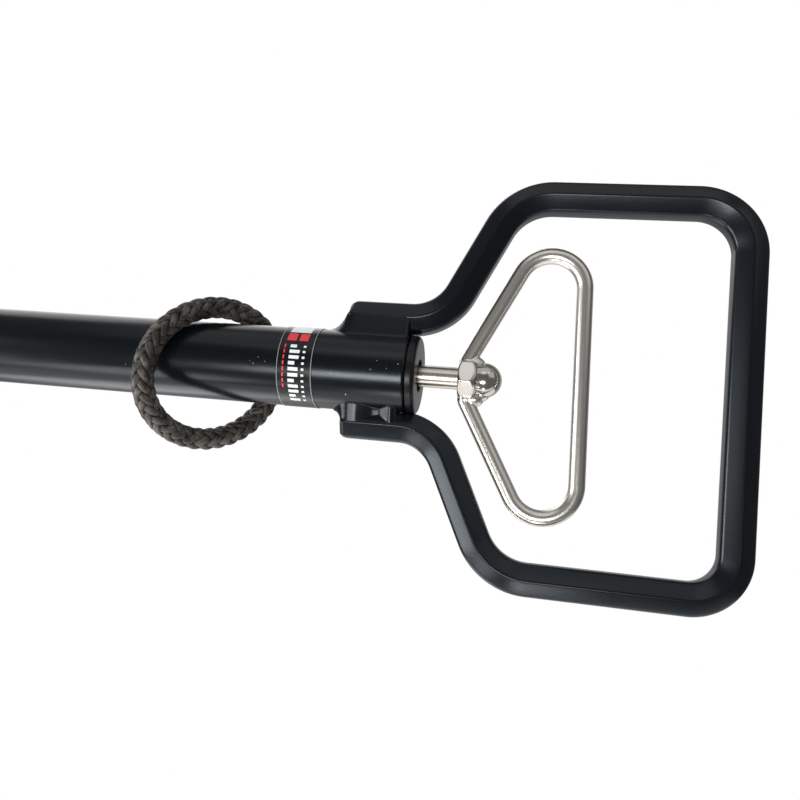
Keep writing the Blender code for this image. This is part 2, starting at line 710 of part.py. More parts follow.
def jaw_outline():
    """The upper jaw's outline from its pivot: tail, arm and foot in one closed line."""
    count = 12
    slot_end = drive_point(STROKE + 0.0008)
    travels = [STROKE * i / count for i in range(count + 1)]
    lower, upper = drive_slot(travels, TAIL_HALF_WIDTH)
    way = math.degrees(math.atan2(upper[-1][1] - lower[-1][1], upper[-1][0] - lower[-1][0])) - 90
    end_cap = arc(slot_end, TAIL_HALF_WIDTH, way - 90, way + 90, 8)
    boss_top = arc((0, 0), BOSS_RADIUS, 10, 80, 5)
    foot_z = BITE_HEIGHT + 2 * GAP - PIVOT_HALF_SPACING
    foot = [
        (-JAW_REACH + 0.0015, foot_z + 0.0050),
        (-JAW_REACH, foot_z + 0.0030),
        (-JAW_REACH, foot_z),
        (-JAW_REACH + BITE_LENGTH, foot_z),
    ]
    outer = [arm_edge(share / 20, 1) for share in range(3, 20)]
    inner = [arm_edge(share / 20, -1) for share in range(18, 1, -1)]
    boss_under = arc((0, 0), BOSS_RADIUS, 235, 270, 3)
    start_cap = arc(drive_point(0), TAIL_HALF_WIDTH, 215, 275, 4)
    tail = [*lower[1:], *end_cap, *reversed(upper[5:]), *boss_top]
    return [*tail, *outer, *foot, *inner, *boss_under, *start_cap]


def jaw_faces(side):
    """The two faces of a jaw plate, as places along Y."""
    return sorted((side * JAW_OFFSET, side * (JAW_OFFSET + JAW_THICKNESS)))


def make_jaw(name, side):
    """One jaw plate with its pivot hole and its curved drive slot; side 1 is the upper jaw."""
    centre = Vector((PIVOT_X, PIVOT_HALF_SPACING))
    slack = 0.0001
    travels = [STROKE * i / 16 for i in range(17)]
    lower, upper = drive_slot(travels, DRIVE_PIN_RADIUS + slack)
    ends = []
    for travel, spread in ((STROKE, 1), (0, -1)):
        low, high = drive_slot([travel], DRIVE_PIN_RADIUS + slack)
        way = math.degrees(math.atan2(high[0][1] - low[0][1], high[0][0] - low[0][0])) - 90
        first = way - 90 if spread > 0 else way + 90
        ends.append(arc(drive_point(travel), DRIVE_PIN_RADIUS + slack, first, first + 180, 10)[1:-1])
    slot = [*lower, *ends[0], *reversed(upper), *ends[1]]
    hole = arc((0, 0), PIVOT_RADIUS + RUNNING, 0, 360, 24)[:-1]
    outlines = []
    for outline in (jaw_outline(), slot, hole):
        outlines.append([(centre.x + x, side * (centre.y + z)) for x, z in outline])
    add(name, plate_mesh(name, outlines, *jaw_faces(side)), BRUSHED_STEEL)


def make_bite_plate(name, side):
    """The toothed cross plate at a jaw's tip; the two meet tooth tip to tooth tip."""
    front = PIVOT_X - JAW_REACH
    teeth, depth = 7, 0.0010
    pitch = BITE_LENGTH / teeth
    profile = []
    for i in range(teeth):
        profile += [(front + i * pitch, GAP / 2 + depth), (front + (i + 0.5) * pitch, GAP / 2)]
    profile.append((front + BITE_LENGTH, GAP / 2 + depth))
    profile += [(front + BITE_LENGTH, BITE_HEIGHT), (front, BITE_HEIGHT)]
    half = JAW_OFFSET + JAW_THICKNESS
    outline = [(x, side * z) for x, z in profile]
    add(name, plate_mesh(name, [outline], -half, half), BRUSHED_STEEL)


def make_cheek(name, side):
    """A side plate of the head, with the pivot holes, the guide slot and two screw holes."""
    front, rear = PIVOT_X, SOCKET_X - GAP
    upper_front = arc((front, PIVOT_HALF_SPACING), 0.010, 180, 90, 6)
    shoulder = [(front + 0.030, 0.0210), (front + 0.074, NOSE_HALF_HEIGHT), (rear, NOSE_HALF_HEIGHT)]
    upper = [*upper_front, *shoulder]
    outline = upper + [(x, -z) for x, z in reversed(upper)]
    holes = []
    for level in (1, -1):
        pivot = (PIVOT_X, level * PIVOT_HALF_SPACING)
        holes.append(arc(pivot, PIVOT_RADIUS + 0.00005, 0, 360, 24)[:-1])
        screw = (SCREW_X, level * SCREW_Z)
        holes.append(arc(screw, SCREW_RADIUS + 0.0001, 0, 360, 16)[:-1])
    slot_radius = DRIVE_PIN_RADIUS + 0.0001
    slot = arc((DRIVE_PIN_X, 0), slot_radius, 90, 270, 10)
    slot += arc((DRIVE_PIN_X + STROKE, 0), slot_radius, -90, 90, 10)
    y_low, y_high = sorted((side * CHEEK_INNER, side * (CHEEK_INNER + CHEEK_THICKNESS)))
    add(name, plate_mesh(name, [outline, *holes, slot], y_low, y_high), BRUSHED_STEEL)


def button_screw(name, length, place, direction):
    """A button-head screw whose shank runs along a direction, with a hexagon socket in its head."""
    head = [
        (-SCREW_HEAD_HEIGHT, 0),
        (-SCREW_HEAD_HEIGHT, 0.0018),
        (-SCREW_HEAD_HEIGHT * 0.8, 0.0027),
        (-SCREW_HEAD_HEIGHT * 0.3, SCREW_HEAD_RADIUS),
        (0, SCREW_HEAD_RADIUS),
        (0, SCREW_RADIUS - 0.0001),
        (length, SCREW_RADIUS - 0.0001),
        (length, 0),
    ]
    screw = turned(name, head, BRUSHED_STEEL, 24)
    key = hexagon_prism(name + "_key", -SCREW_HEAD_HEIGHT - 0.001, -SCREW_HEAD_HEIGHT + 0.0013, 0.0025)
    combine(screw, key, "DIFFERENCE")
    turn = Vector(direction).to_track_quat("X", "Z")
    for piece in (screw, key):
        piece.rotation_mode = "QUATERNION"
        piece.rotation_quaternion = turn
        piece.location = place


def make_head():
    """The socket in the tube's front end, its bush, the cheeks and the screws that hold them."""
    spigot = TUBE_RADIUS - TUBE_WALL - 0.0002
    flange_end = SOCKET_X + SOCKET_FLANGE
    profile = [
        (SOCKET_X, 0),
        (SOCKET_X, TUBE_RADIUS),
        (flange_end, TUBE_RADIUS),
        (flange_end, spigot),
        (flange_end + SPIGOT_LENGTH, spigot),
        (flange_end + SPIGOT_LENGTH, 0),
    ]
    socket = turned("head_socket", profile, BRUSHED_STEEL, 48)
    nose_front = PIVOT_X + NOSE_START
    half_width = CHEEK_INNER - GAP
    low = (nose_front, -half_width, -NOSE_HALF_HEIGHT)
    high = (SOCKET_X + 0.001, half_width, NOSE_HALF_HEIGHT)
    combine(socket, add_cutter("nose_block", box_mesh("nose_block", low, high)), "UNION")
    middle = ((nose_front + flange_end + SPIGOT_LENGTH) / 2, 0, 0)
    bore = round_cutter("bush_bore", middle, (1, 0, 0), BUSH_RADIUS + 0.0001, 0.08)
    combine(socket, bore, "DIFFERENCE")
    for z in (SCREW_Z, -SCREW_Z):
        drill = round_cutter("cheek_screw_hole", (SCREW_X, 0, z), (0, 1, 0), SCREW_RADIUS, 0.04, 16)
        combine(socket, drill, "DIFFERENCE")
    set_x = TUBE_FRONT_X + SPIGOT_LENGTH / 2
    drill = round_cutter("spigot_holes", (set_x, 0, 0), (0, 0, 1), SCREW_RADIUS, 0.04, 16)
    combine(socket, drill, "DIFFERENCE")
    bush = ring_profile(nose_front, flange_end + SPIGOT_LENGTH, ROD_RADIUS + RUNNING, BUSH_RADIUS)
    turned("head_guide_bush", bush, WHITE_PLASTIC)
    for name, z in (("head_set_screw_top", 1), ("head_set_screw_bottom", -1)):
        button_screw(name, 0.0075, (set_x, 0, z * (TUBE_RADIUS + GAP)), (0, 0, -z))
    for name, side in (("near", -1), ("far", 1)):
        make_cheek(f"cheek_plate_{name}", side)
        face = side * (CHEEK_INNER + CHEEK_THICKNESS + GAP)
        for level, z in (("upper", SCREW_Z), ("lower", -SCREW_Z)):
            button_screw(f"cheek_screw_{name}_{level}", 0.0085, (SCREW_X, face, z), (0, -side, 0))


def make_pivot(name, side):
    """A pivot pin with its head, the clip in its groove and the two spacers that centre its jaw."""
    place = (PIVOT_X, 0, side * PIVOT_HALF_SPACING)
    outside = CHEEK_INNER + CHEEK_THICKNESS + GAP
    head, groove, clip = 0.0018, 0.0025, 0.0008
    end = outside + clip + 0.0012
    profile = [
        (-outside - head, 0),
        (-outside - head, 0.0042),
        (-outside - head * 0.6, 0.0048),
        (-outside, 0.0048),
        (-outside, PIVOT_RADIUS),
        (outside, PIVOT_RADIUS),
        (outside, groove),
        (outside + clip + 2 * GAP, groove),
        (outside + clip + 2 * GAP, PIVOT_RADIUS),
        (end - 0.0003, PIVOT_RADIUS),
        (end, PIVOT_RADIUS - 0.0003),
        (end, 0),
    ]
    pin = turned(f"pivot_pin_{name}", profile, POLISHED_STEEL, 24)
    ring = ring_profile(outside + GAP, outside + GAP + clip, groove + 0.0001, 0.0046)
    clip_ring = turned(f"pivot_clip_{name}", ring, SPRING_STEEL, 24)
    mouth_box = box_mesh("clip_mouth", (outside - 0.001, -0.0016, 0), (outside + 0.003, 0.0016, 0.006))
    mouth = add_cutter(f"clip_mouth_{name}", mouth_box)
    combine(clip_ring, mouth, "DIFFERENCE")
    jaw_low, jaw_high = jaw_faces(side)
    inner, outer = PIVOT_RADIUS + 0.0001, 0.0042
    reach = CHEEK_INNER - 0.0001
    spacers = []
    for end_name, low, high in (("near", -reach, jaw_low - 0.0001), ("far", jaw_high + 0.0001, reach)):
        spacer = ring_profile(low, high, inner, outer)
        spacers.append(turned(f"pivot_spacer_{name}_{end_name}", spacer, WHITE_PLASTIC, 24))
    for piece in (pin, clip_ring, mouth, *spacers):
        piece.rotation_euler = (0, 0, math.pi / 2)
        piece.location = place


def make_crosshead():
    """The yoke on the rod's end, its pin through both jaws and the lock nut behind it."""
    front = DRIVE_PIN_X - YOKE_HALF_HEIGHT
    web = PIVOT_X + YOKE_WEB_START
    rear = web + YOKE_WEB
    nose = arc((DRIVE_PIN_X, 0), YOKE_HALF_HEIGHT, 90, 270, 10)
    outline = [*nose, (rear, -YOKE_HALF_HEIGHT), (rear, YOKE_HALF_HEIGHT)]
    hole = arc((DRIVE_PIN_X, 0), DRIVE_PIN_RADIUS + 0.00005, 0, 360, 24)[:-1]
    plate = plate_mesh("crosshead_yoke", [outline, hole], -YOKE_OUTER, YOKE_OUTER)
    yoke = add("crosshead_yoke", plate, BRUSHED_STEEL)
    mouth = box_mesh("yoke_mouth", (front - 0.001, -YOKE_INNER, -0.01), (web, YOKE_INNER, 0.01))
    combine(yoke, add_cutter("yoke_mouth", mouth), "DIFFERENCE")
    thread = round_cutter("yoke_thread", (web, 0, 0), (1, 0, 0), ROD_RADIUS + 0.0001, 0.04)
    combine(yoke, thread, "DIFFERENCE")
    nut_front = rear + GAP
    nut_rear = nut_front + LOCK_NUT_HEIGHT
    nut = hexagon_prism("rod_lock_nut", nut_front, nut_rear, LOCK_NUT_FLATS, 0.0, POLISHED_STEEL)
    bore = round_cutter("lock_nut_bore", (nut_front, 0, 0), (1, 0, 0), ROD_RADIUS + 0.0001, 0.02)
    combine(nut, bore, "DIFFERENCE")
    half = CHEEK_INNER + CHEEK_THICKNESS - 0.0005
    profile = [(-half, 0), (-half, DRIVE_PIN_RADIUS), (half, DRIVE_PIN_RADIUS), (half, 0)]
    pin = turned("crosshead_pin", profile, POLISHED_STEEL, 24)
    pin.rotation_euler = (0, 0, math.pi / 2)
    pin.location = (DRIVE_PIN_X, 0, 0)


make_tube()
make_handle()
spring_seat_x = make_plug()
make_rod(make_spring(spring_seat_x))
make_trigger(make_nut())
make_label()
make_rope_ring()
make_head()
make_crosshead()
for jaw, side_of_axis in (("upper", 1), ("lower", -1)):
    make_pivot(jaw, side_of_axis)
    make_jaw(f"{jaw}_jaw", side_of_axis)
    make_bite_plate(f"{jaw}_bite_plate", side_of_axis)
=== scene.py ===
"""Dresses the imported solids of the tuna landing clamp: finishes, welds, braid, print and studio.

Metres, +Z up. The tube lies along X with the handle at +X, and the handle's plane is XZ. The origin
is the middle of the grip bar's outer flat. Many sizes count from the plug's rear face, as they were
measured on the photograph.
"""

from __future__ import annotations

import logging
import math
from collections.abc import Callable
from dataclasses import dataclass, field
from enum import Enum

import bmesh
import bpy
import numpy as np
from mathutils import Matrix, Vector


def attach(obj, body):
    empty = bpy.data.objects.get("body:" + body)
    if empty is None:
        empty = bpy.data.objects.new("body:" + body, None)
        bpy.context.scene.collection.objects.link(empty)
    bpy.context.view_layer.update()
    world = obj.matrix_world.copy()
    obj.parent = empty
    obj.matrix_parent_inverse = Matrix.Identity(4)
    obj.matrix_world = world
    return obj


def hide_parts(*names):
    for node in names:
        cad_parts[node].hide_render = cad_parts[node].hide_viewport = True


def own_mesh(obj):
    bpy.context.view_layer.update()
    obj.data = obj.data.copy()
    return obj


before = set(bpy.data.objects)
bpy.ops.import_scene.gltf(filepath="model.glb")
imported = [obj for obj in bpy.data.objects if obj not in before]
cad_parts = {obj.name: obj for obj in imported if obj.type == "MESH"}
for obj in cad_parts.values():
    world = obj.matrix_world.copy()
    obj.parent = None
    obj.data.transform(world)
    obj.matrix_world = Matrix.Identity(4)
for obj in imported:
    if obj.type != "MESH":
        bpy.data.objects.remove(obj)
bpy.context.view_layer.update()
LOG = logging.getLogger("landing_clamp")

BAR_FLATS = 0.0116
HANDLE_DEPTH = 0.1134
PLUG_FACE_X = -BAR_FLATS / 2 - HANDLE_DEPTH
TUBE_RADIUS = 0.015
TUBE_REAR_X = -0.1226
ROD_RADIUS = 0.0041
MM = 0.001

Point = tuple[float, float]
Place = tuple[float, float, float]
Colour = tuple[float, float, float, float]
Frame = tuple[Vector, Vector, Vector]


class Body(Enum):
    """The CAD bodies that pieces ride on."""

    FRAME = "frame"
    PULL = "pull"
    RING = "ring"


class Side(Enum):
    """Which side of the tube's axis a foot, leg or weld is on."""

    UPPER = 1
    LOWER = -1


def linear(code: str) -> Colour:
    """Turns an sRGB hex value such as #1A1B1D into a linear colour.

    Args:
        code: The colour as a hash and six hex digits.

    Returns:
        Red, green, blue and alpha, linear.
    """
    parts = [int(code[i : i + 2], 16) / 255 for i in (1, 3, 5)]
    red, green, blue = (p / 12.92 if p <= 0.04045 else ((p + 0.055) / 1.055) ** 2.4 for p in parts)
    return red, green, blue, 1.0


def add_node(
    tree: bpy.types.NodeTree,
    kind: str,
    settings: dict | None = None,
    links: dict | None = None,
) -> bpy.types.Node:
    """Adds a node to a tree with its settings and the links into it.

    Args:
        tree: The node tree of a material or world.
        kind: The node's type, such as ShaderNodeTexNoise.
        settings: Values of inputs, by name or number, or of the node's own properties.
        links: Output sockets that go into inputs, by the input's name or number.

    Returns:
        The new node.
    """
    node = tree.nodes.new(kind)
    for name, value in (settings or {}).items():
        if isinstance(name, int) or name in node.inputs:
            node.inputs[name].default_value = value
        else:
            setattr(node, name, value)
    for name, source in (links or {}).items():
        tree.links.new(source, node.inputs[name])
    return node


@dataclass(frozen=True)
class Finish:
    """A finish of the object. Its material is made the first time that it is asked for."""

    name: str

    def material(self) -> bpy.types.Material:
        """Makes the material, or finds it.

        Returns:
            The material.
        """
        if self.name not in bpy.data.materials:
            made = bpy.data.materials.new(self.name)
            made.use_nodes = True
            self.build(made.node_tree)
        return bpy.data.materials[self.name]

    def build(self, tree: bpy.types.NodeTree) -> None:
        """Adds the finish's own nodes.

        Args:
            tree: The material's nodes, with one Principled shader.
        """
        raise NotImplementedError

    def surface(
        self,
        tree: bpy.types.NodeTree,
        colour: bpy.types.NodeSocket,
        grain: bpy.types.NodeSocket,
        gloss: Point,
        relief: Point,
        slow: bpy.types.NodeSocket | None = None,
    ) -> None:
        """Links the shader's colour, and its roughness and bump from a grain.

        Args:
            tree: The material's nodes.
            colour: The surface's colour.
            grain: The grain's value.
            gloss: The lowest and highest roughness.
            relief: The bump's strength, and its height in metres.
            slow: What the roughness follows, where that isn't the grain.
        """
        follow = grain if slow is None else slow
        span = {"To Min": gloss[0], "To Max": gloss[1]}
        rough = add_node(tree, "ShaderNodeMapRange", span, {"Value": follow})
        depth = {"Strength": relief[0], "Distance": relief[1]}
        bump = add_node(tree, "ShaderNodeBump", depth, {"Height": grain})
        shader = tree.nodes["Principled BSDF"]
        tree.links.new(colour, shader.inputs["Base Color"])
        tree.links.new(rough.outputs["Result"], shader.inputs["Roughness"])
        tree.links.new(bump.outputs["Normal"], shader.inputs["Normal"])


@dataclass(frozen=True)
class PowderCoat(Finish):
    """Polyester powder coat on steel, sprayed and baked: satin black with a fine grain."""

    colour: str = "#05090D"
    worn: str = "#090D12"
    sheen: float = 0.40  # specular level, lowered by the matting powder
    cast: str = "#E4EDF4"  # black pigment leaves its reflections a little cool
    roughness: float = 0.25
    spread: float = 0.05  # of the roughness, both ways
    grain_mm: float = 0.7  # real grain is near 0.2 mm, drawn coarser so that it shows
    depth_mm: float = 0.04
    patch_mm: float = 24.0  # size of the slow changes of gloss

    def build(self, tree: bpy.types.NodeTree) -> None:
        """Adds the grain, in colour and bump, and slow changes of gloss.

        Args:
            tree: The material's nodes.
        """
        shader = tree.nodes["Principled BSDF"]
        shader.inputs["Specular IOR Level"].default_value = self.sheen
        shader.inputs["Specular Tint"].default_value = linear(self.cast)
        place = add_node(tree, "ShaderNodeTexCoord").outputs["Object"]
        fine = {"Scale": 1 / (self.grain_mm * MM), "Detail": 3.0, "Roughness": 0.6}
        grain = add_node(tree, "ShaderNodeTexNoise", fine, {"Vector": place}).outputs["Fac"]
        wide = {"Scale": 1 / (self.patch_mm * MM), "Detail": 2.0}
        slow = add_node(tree, "ShaderNodeTexNoise", wide, {"Vector": place}).outputs["Fac"]
        tones = {"data_type": "RGBA", 6: linear(self.colour), 7: linear(self.worn)}
        tint = add_node(tree, "ShaderNodeMix", tones, {0: grain})
        gloss = (self.roughness - self.spread, self.roughness + self.spread)
        self.surface(tree, tint.outputs[2], grain, gloss, (0.35, self.depth_mm * MM), slow)


@dataclass(frozen=True)
class Steel(Finish):
    """Steel: polished wire and nut, brushed plates, zinc-plated screws or drawn spring wire."""

    colour: str
    roughness: float
    grain_mm: Place  # grain's size along each axis
    depth_mm: float
    spread: float = 0.06  # of the roughness, both ways

    def build(self, tree: bpy.types.NodeTree) -> None:
        """Adds grain drawn out along the polishing direction, in gloss and bump.

        Args:
            tree: The material's nodes.
        """
        tree.nodes["Principled BSDF"].inputs["Metallic"].default_value = 1.0
        place = add_node(tree, "ShaderNodeTexCoord").outputs["Object"]
        scale = tuple(1 / (size * MM) for size in self.grain_mm)
        drawn = add_node(tree, "ShaderNodeMapping", {"Scale": scale}, {"Vector": place}).outputs[0]
        fine = {"Scale": 1.0, "Detail": 3.0, "Roughness": 0.65}
        grain = add_node(tree, "ShaderNodeTexNoise", fine, {"Vector": drawn}).outputs["Fac"]
        light = linear(self.colour)
        dark = (*(part * 0.9 for part in light[:3]), 1.0)
        tint = add_node(tree, "ShaderNodeMix", {"data_type": "RGBA", 6: dark, 7: light}, {0: grain})
        gloss = (max(0.02, self.roughness - self.spread), self.roughness + self.spread)
        self.surface(tree, tint.outputs[2], grain, gloss, (0.3, self.depth_mm * MM))


@dataclass(frozen=True)
class Moulded(Finish):
    """Moulded plastic or printed film: faint mottling, a soft gloss and a fine texture."""

    colour: str
    mottle: str
    roughness: float
    grain_mm: float = 0.8
    depth_mm: float = 0.02
    sheen: float = 0.5  # specular level
    spread: float = 0.05  # of the roughness, both ways

    def build(self, tree: bpy.types.NodeTree) -> None:
        """Adds two near colours mixed by noise, with the same noise as bump.

        Args:
            tree: The material's nodes.
        """
        tree.nodes["Principled BSDF"].inputs["Specular IOR Level"].default_value = self.sheen
        place = add_node(tree, "ShaderNodeTexCoord").outputs["Object"]
        fine = {"Scale": 1 / (self.grain_mm * MM), "Detail": 2.0}
        grain = add_node(tree, "ShaderNodeTexNoise", fine, {"Vector": place}).outputs["Fac"]
        tones = {"data_type": "RGBA", 6: linear(self.colour), 7: linear(self.mottle)}
        tint = add_node(tree, "ShaderNodeMix", tones, {0: grain})
        gloss = (self.roughness - self.spread, self.roughness + self.spread)
        self.surface(tree, tint.outputs[2], grain, gloss, (0.25, self.depth_mm * MM))


@dataclass(frozen=True)
class BraidFibre(Finish):
    """Braided polyethylene rope, waxy grey-brown: fibres along each strand, with painted shade
    between the strands.
    """

    name: str = "grey_braided_polyethylene_rope"
    # painted shade: the near-black that points low between the strands turn to
    gap_shade: str = "#070606"
    body: str = "#262220"
    crest: str = "#756D64"
    sheen: float = 0.45  # specular level
    fibre_scale: float = 21.6  # of noise: about nine fibres on a strand, coarser than real ones
    fibre_mm: float = 2.2  # length over which a fibre changes
    patch_mm: float = 5.0  # size of the worn patches
    depth_mm: float = 0.18
    wear: Point = (0.20, 0.44)  # noise from which the body's tone turns to the crest's
    rise: Point = (0.25, 0.95)  # how far out the painted shade of the gaps ends and the strand's tone is full
    gloss: Point = (0.34, 0.62)  # lowest and highest roughness

    def build(self, tree: bpy.types.NodeTree) -> None:
        """Colours the rope by each strand's own UVs, and paints shade by how far a point stands
        out, darker the lower it lies between the strands.

        Args:
            tree: The material's nodes.
        """
        tree.nodes["Principled BSDF"].inputs["Specular IOR Level"].default_value = self.sheen
        lie = add_node(tree, "ShaderNodeUVMap", {"uv_map": "strand"}).outputs["UV"]
        scale = (self.fibre_scale, 1 / (self.fibre_mm * MM), 1.0)
        drawn = add_node(tree, "ShaderNodeMapping", {"Scale": scale}, {"Vector": lie}).outputs[0]
        fine = {"Scale": 1.0, "Detail": 3.0, "Roughness": 0.7, "Distortion": 0.3}
        fibres = add_node(tree, "ShaderNodeTexNoise", fine, {"Vector": drawn}).outputs["Fac"]
        place = add_node(tree, "ShaderNodeTexCoord").outputs["Object"]
        wide = {"Scale": 1 / (self.patch_mm * MM)}
        patches = add_node(tree, "ShaderNodeTexNoise", wide, {"Vector": place}).outputs["Fac"]
        worn = add_node(tree, "ShaderNodeMath", {"operation": "MULTIPLY"}, {0: fibres, 1: patches})
        span = {"From Min": self.wear[0], "From Max": self.wear[1]}
        lift = add_node(tree, "ShaderNodeMapRange", span, {"Value": worn.outputs[0]})
        tones = {"data_type": "RGBA", 6: linear(self.body), 7: linear(self.crest)}
        top = add_node(tree, "ShaderNodeMix", tones, {0: lift.outputs["Result"]})
        # painted shade: points low between the strands, and the core, turn to the near-black gap
        # colour
        crest = add_node(tree, "ShaderNodeAttribute", {"attribute_name": "crest"}).outputs["Fac"]
        span = {"From Min": self.rise[0], "From Max": self.rise[1]}
        depth = add_node(tree, "ShaderNodeMapRange", span, {"Value": crest}).outputs["Result"]
        base = {"data_type": "RGBA", 6: linear(self.gap_shade)}
        shade = add_node(tree, "ShaderNodeMix", base, {0: depth, 7: top.outputs[2]})
        self.surface(tree, shade.outputs[2], fibres, self.gloss, (0.7, self.depth_mm * MM))


# Satin black coat: a dull, broad gleam with soft-edged highlights, on the handle and the tube
HANDLE_COAT = PowderCoat("satin_black_powder_coat_on_steel")
TUBE_COAT = PowderCoat("satin_black_powder_coat_on_tube", roughness=0.24)
# Polished stainless steel: clear, slightly wavy mirror with warm and dark bands
POLISHED = Steel("polished_stainless_steel", "#DCD8D1", 0.29, (2.5, 2.5, 2.5), 0.0008, 0.02)
NUT_STEEL = Steel("polished_stainless_nut", "#C6C1BA", 0.15, (2.5, 2.5, 2.5), 0.001, 0.01)
ROD_STEEL = Steel("ground_stainless_rod", "#D6CFC4", 0.28, (3.0, 1.6, 1.6), 0.0015, 0.02)
# Brushed stainless plate: grain along the jaws that spreads the gleam
BRUSHED = Steel("brushed_stainless_plate", "#B9B7B2", 0.30, (6.0, 0.25, 0.25), 0.006, 0.08)
# Zinc plate: pale and a little cloudy; drawn spring wire: darker, with fine die lines
ZINC = Steel("zinc_plated_steel", "#B4B8BC", 0.27, (0.6, 0.6, 0.6), 0.006, 0.07)
SPRING_WIRE = Steel("drawn_spring_steel", "#8E8B86", 0.28, (0.5, 0.5, 0.5), 0.005, 0.06)
# Moulded nylon plug: grey-black and silky; acetal bushes: milky white
PLUG_NYLON = Moulded("black_moulded_nylon", "#0F0D0F", "#151315", 0.32, sheen=0.27)
ACETAL = Moulded("white_acetal", "#DCDAD2", "#E4E2DB", 0.42)
# Printed vinyl band: glossy black film with light and red inks
FILM = Moulded("black_vinyl_film", "#08090C", "#0C0D10", 0.26, 1.2, 0.008, sheen=0.36)
PALE_INK = Moulded("pale_screen_ink", "#DFE6E8", "#EAEFF0", 0.35, 1.0, 0.008)
RED_INK = Moulded("red_screen_ink", "#D92E3C", "#E23846", 0.35, 1.0, 0.008)
EDGE_INK = Moulded("grey_screen_ink", "#8C959B", "#99A2A7", 0.35, 1.0, 0.008)
# Braided polyethylene: dull brown-grey, paler where the strands rub, with painted shade in the gaps
# between strands
BRAID = BraidFibre()
# Specks of pale dust that were baked into the coat
NIB = Moulded("baked_in_dust_specks", "#B9BEC0", "#C6CACC", 0.5, 0.3, 0.01)

NODE_FINISHES = {
    ACETAL: (
        "rod_guide_bush",
        "head_guide_bush",
        "pivot_spacer_upper_near",
        "pivot_spacer_upper_far",
        "pivot_spacer_lower_near",
        "pivot_spacer_lower_far",
    ),
    BRUSHED: (
        "head_socket",
        "cheek_plate_near",
        "cheek_plate_far",
        "crosshead_yoke",
        "upper_jaw",
        "lower_jaw",
        "upper_bite_plate",
        "lower_bite_plate",
    ),
    ZINC: (
        "cheek_screw_near_upper",
        "cheek_screw_near_lower",
        "cheek_screw_far_upper",
        "cheek_screw_far_lower",
        "head_set_screw_top",
        "head_set_screw_bottom",
        "rod_lock_nut",
        "spring_seat",
        "spring_collar",
    ),
    SPRING_WIRE: ("collar_pin", "pivot_clip_upper", "pivot_clip_lower"),
    POLISHED: ("pivot_pin_upper", "pivot_pin_lower", "crosshead_pin"),
}


def mesh_from(shape: bmesh.types.BMesh, name: str) -> bpy.types.Mesh:
    """Writes a bmesh to a new mesh with its faces turned outwards, and frees it.

    Args:
        shape: The finished shape.
        name: The mesh's name.

    Returns:
        The new mesh.
    """
    bmesh.ops.recalc_face_normals(shape, faces=shape.faces)
    mesh = bpy.data.meshes.new(name)
    shape.to_mesh(mesh)
    shape.free()
    return mesh


def pour(mesh: bpy.types.Mesh, shape: bmesh.types.BMesh) -> None:
    """Adds a mesh to a shape and removes the mesh."""
    shape.from_mesh(mesh)
    bpy.data.meshes.remove(mesh)


def loft(name: str, rings: list[list[Vector]], closed: bool = False) -> bpy.types.Mesh:
    """Skins a row of rings with the same number of points.

    Args:
        name: The mesh's name.
        rings: The rings in order.
        closed: Whether the last ring joins the first, instead of both ends being capped.

    Returns:
        The new mesh.
    """
    shape = bmesh.new()
    loops = [[shape.verts.new(point) for point in ring] for ring in rings]
    pairs = list(zip(loops, loops[1:] + loops[:1])) if closed else list(zip(loops, loops[1:]))
    count = len(loops[0])
    for ring, following in pairs:
        for i in range(count):
            j = (i + 1) % count
            shape.faces.new((ring[i], ring[j], following[j], following[i]))
    if not closed:
        shape.faces.new(loops[0])
        shape.faces.new(loops[-1])
    return mesh_from(shape, name)


def softened(corners: list[Point], radii: list[float], steps: int = 4) -> list[Point]:
    """Rounds each corner of a closed outline.

    Args:
        corners: The outline's corners.
        radii: Each corner's rounding, cut down where an edge is short.
        steps: Straight pieces in each rounding.

    Returns:
        The rounded outline.
    """
    outline = []
    most = 0.45  # of an edge that one rounding may take
    for i, (corner, radius) in enumerate(zip(corners, radii)):
        here = Vector(corner)
        back = Vector(corners[i - 1]) - here
        on = Vector(corners[(i + 1) % len(corners)]) - here
        half = back.angle(on) / 2
        reach = min(radius / math.tan(half), back.length * most, on.length * most)
        start, end = here + back.normalized() * reach, here + on.normalized() * reach
        for k in range(steps + 1):
            share = k / steps
            point = start * (1 - share) ** 2 + here * 2 * share * (1 - share) + end * share**2
            outline.append((point.x, point.y))
    return outline


def filleted(corners: list[Point], radii: list[float], step_deg: float = 3.0) -> list[Point]:
    """Runs an open path through corners, each inner corner rounded by an arc of its own radius.

    Args:
        corners: The path's corners.
        radii: One radius for each inner corner.
        step_deg: The arc's step.

    Returns:
        The path's points.
    """
    path = [corners[0]]
    for before, corner, after, radius in zip(corners, corners[1:], corners[2:], radii):
        here = Vector(corner)
        back = (Vector(before) - here).normalized()
        on = (Vector(after) - here).normalized()
        half = back.angle(on) / 2
        turn = math.pi - 2 * half
        centre = here + (back + on).normalized() * (radius / math.sin(half))
        first = here + back * (radius / math.tan(half)) - centre
        side = 1.0 if back.x * on.y - back.y * on.x < 0 else -1.0
        count = max(2, round(math.degrees(turn) / step_deg))
        for i in range(count + 1):
            angle = side * turn * i / count
            turned_x = first.x * math.cos(angle) - first.y * math.sin(angle)
            turned_y = first.x * math.sin(angle) + first.y * math.cos(angle)
            path.append((centre.x + turned_x, centre.y + turned_y))
    path.append(corners[-1])
    return path


def circle(radius: float, sides: int) -> list[Point]:
    """A circle's points, in order."""
    angles = [2 * math.pi * k / sides for k in range(sides)]
    return [(radius * math.cos(angle), radius * math.sin(angle)) for angle in angles]


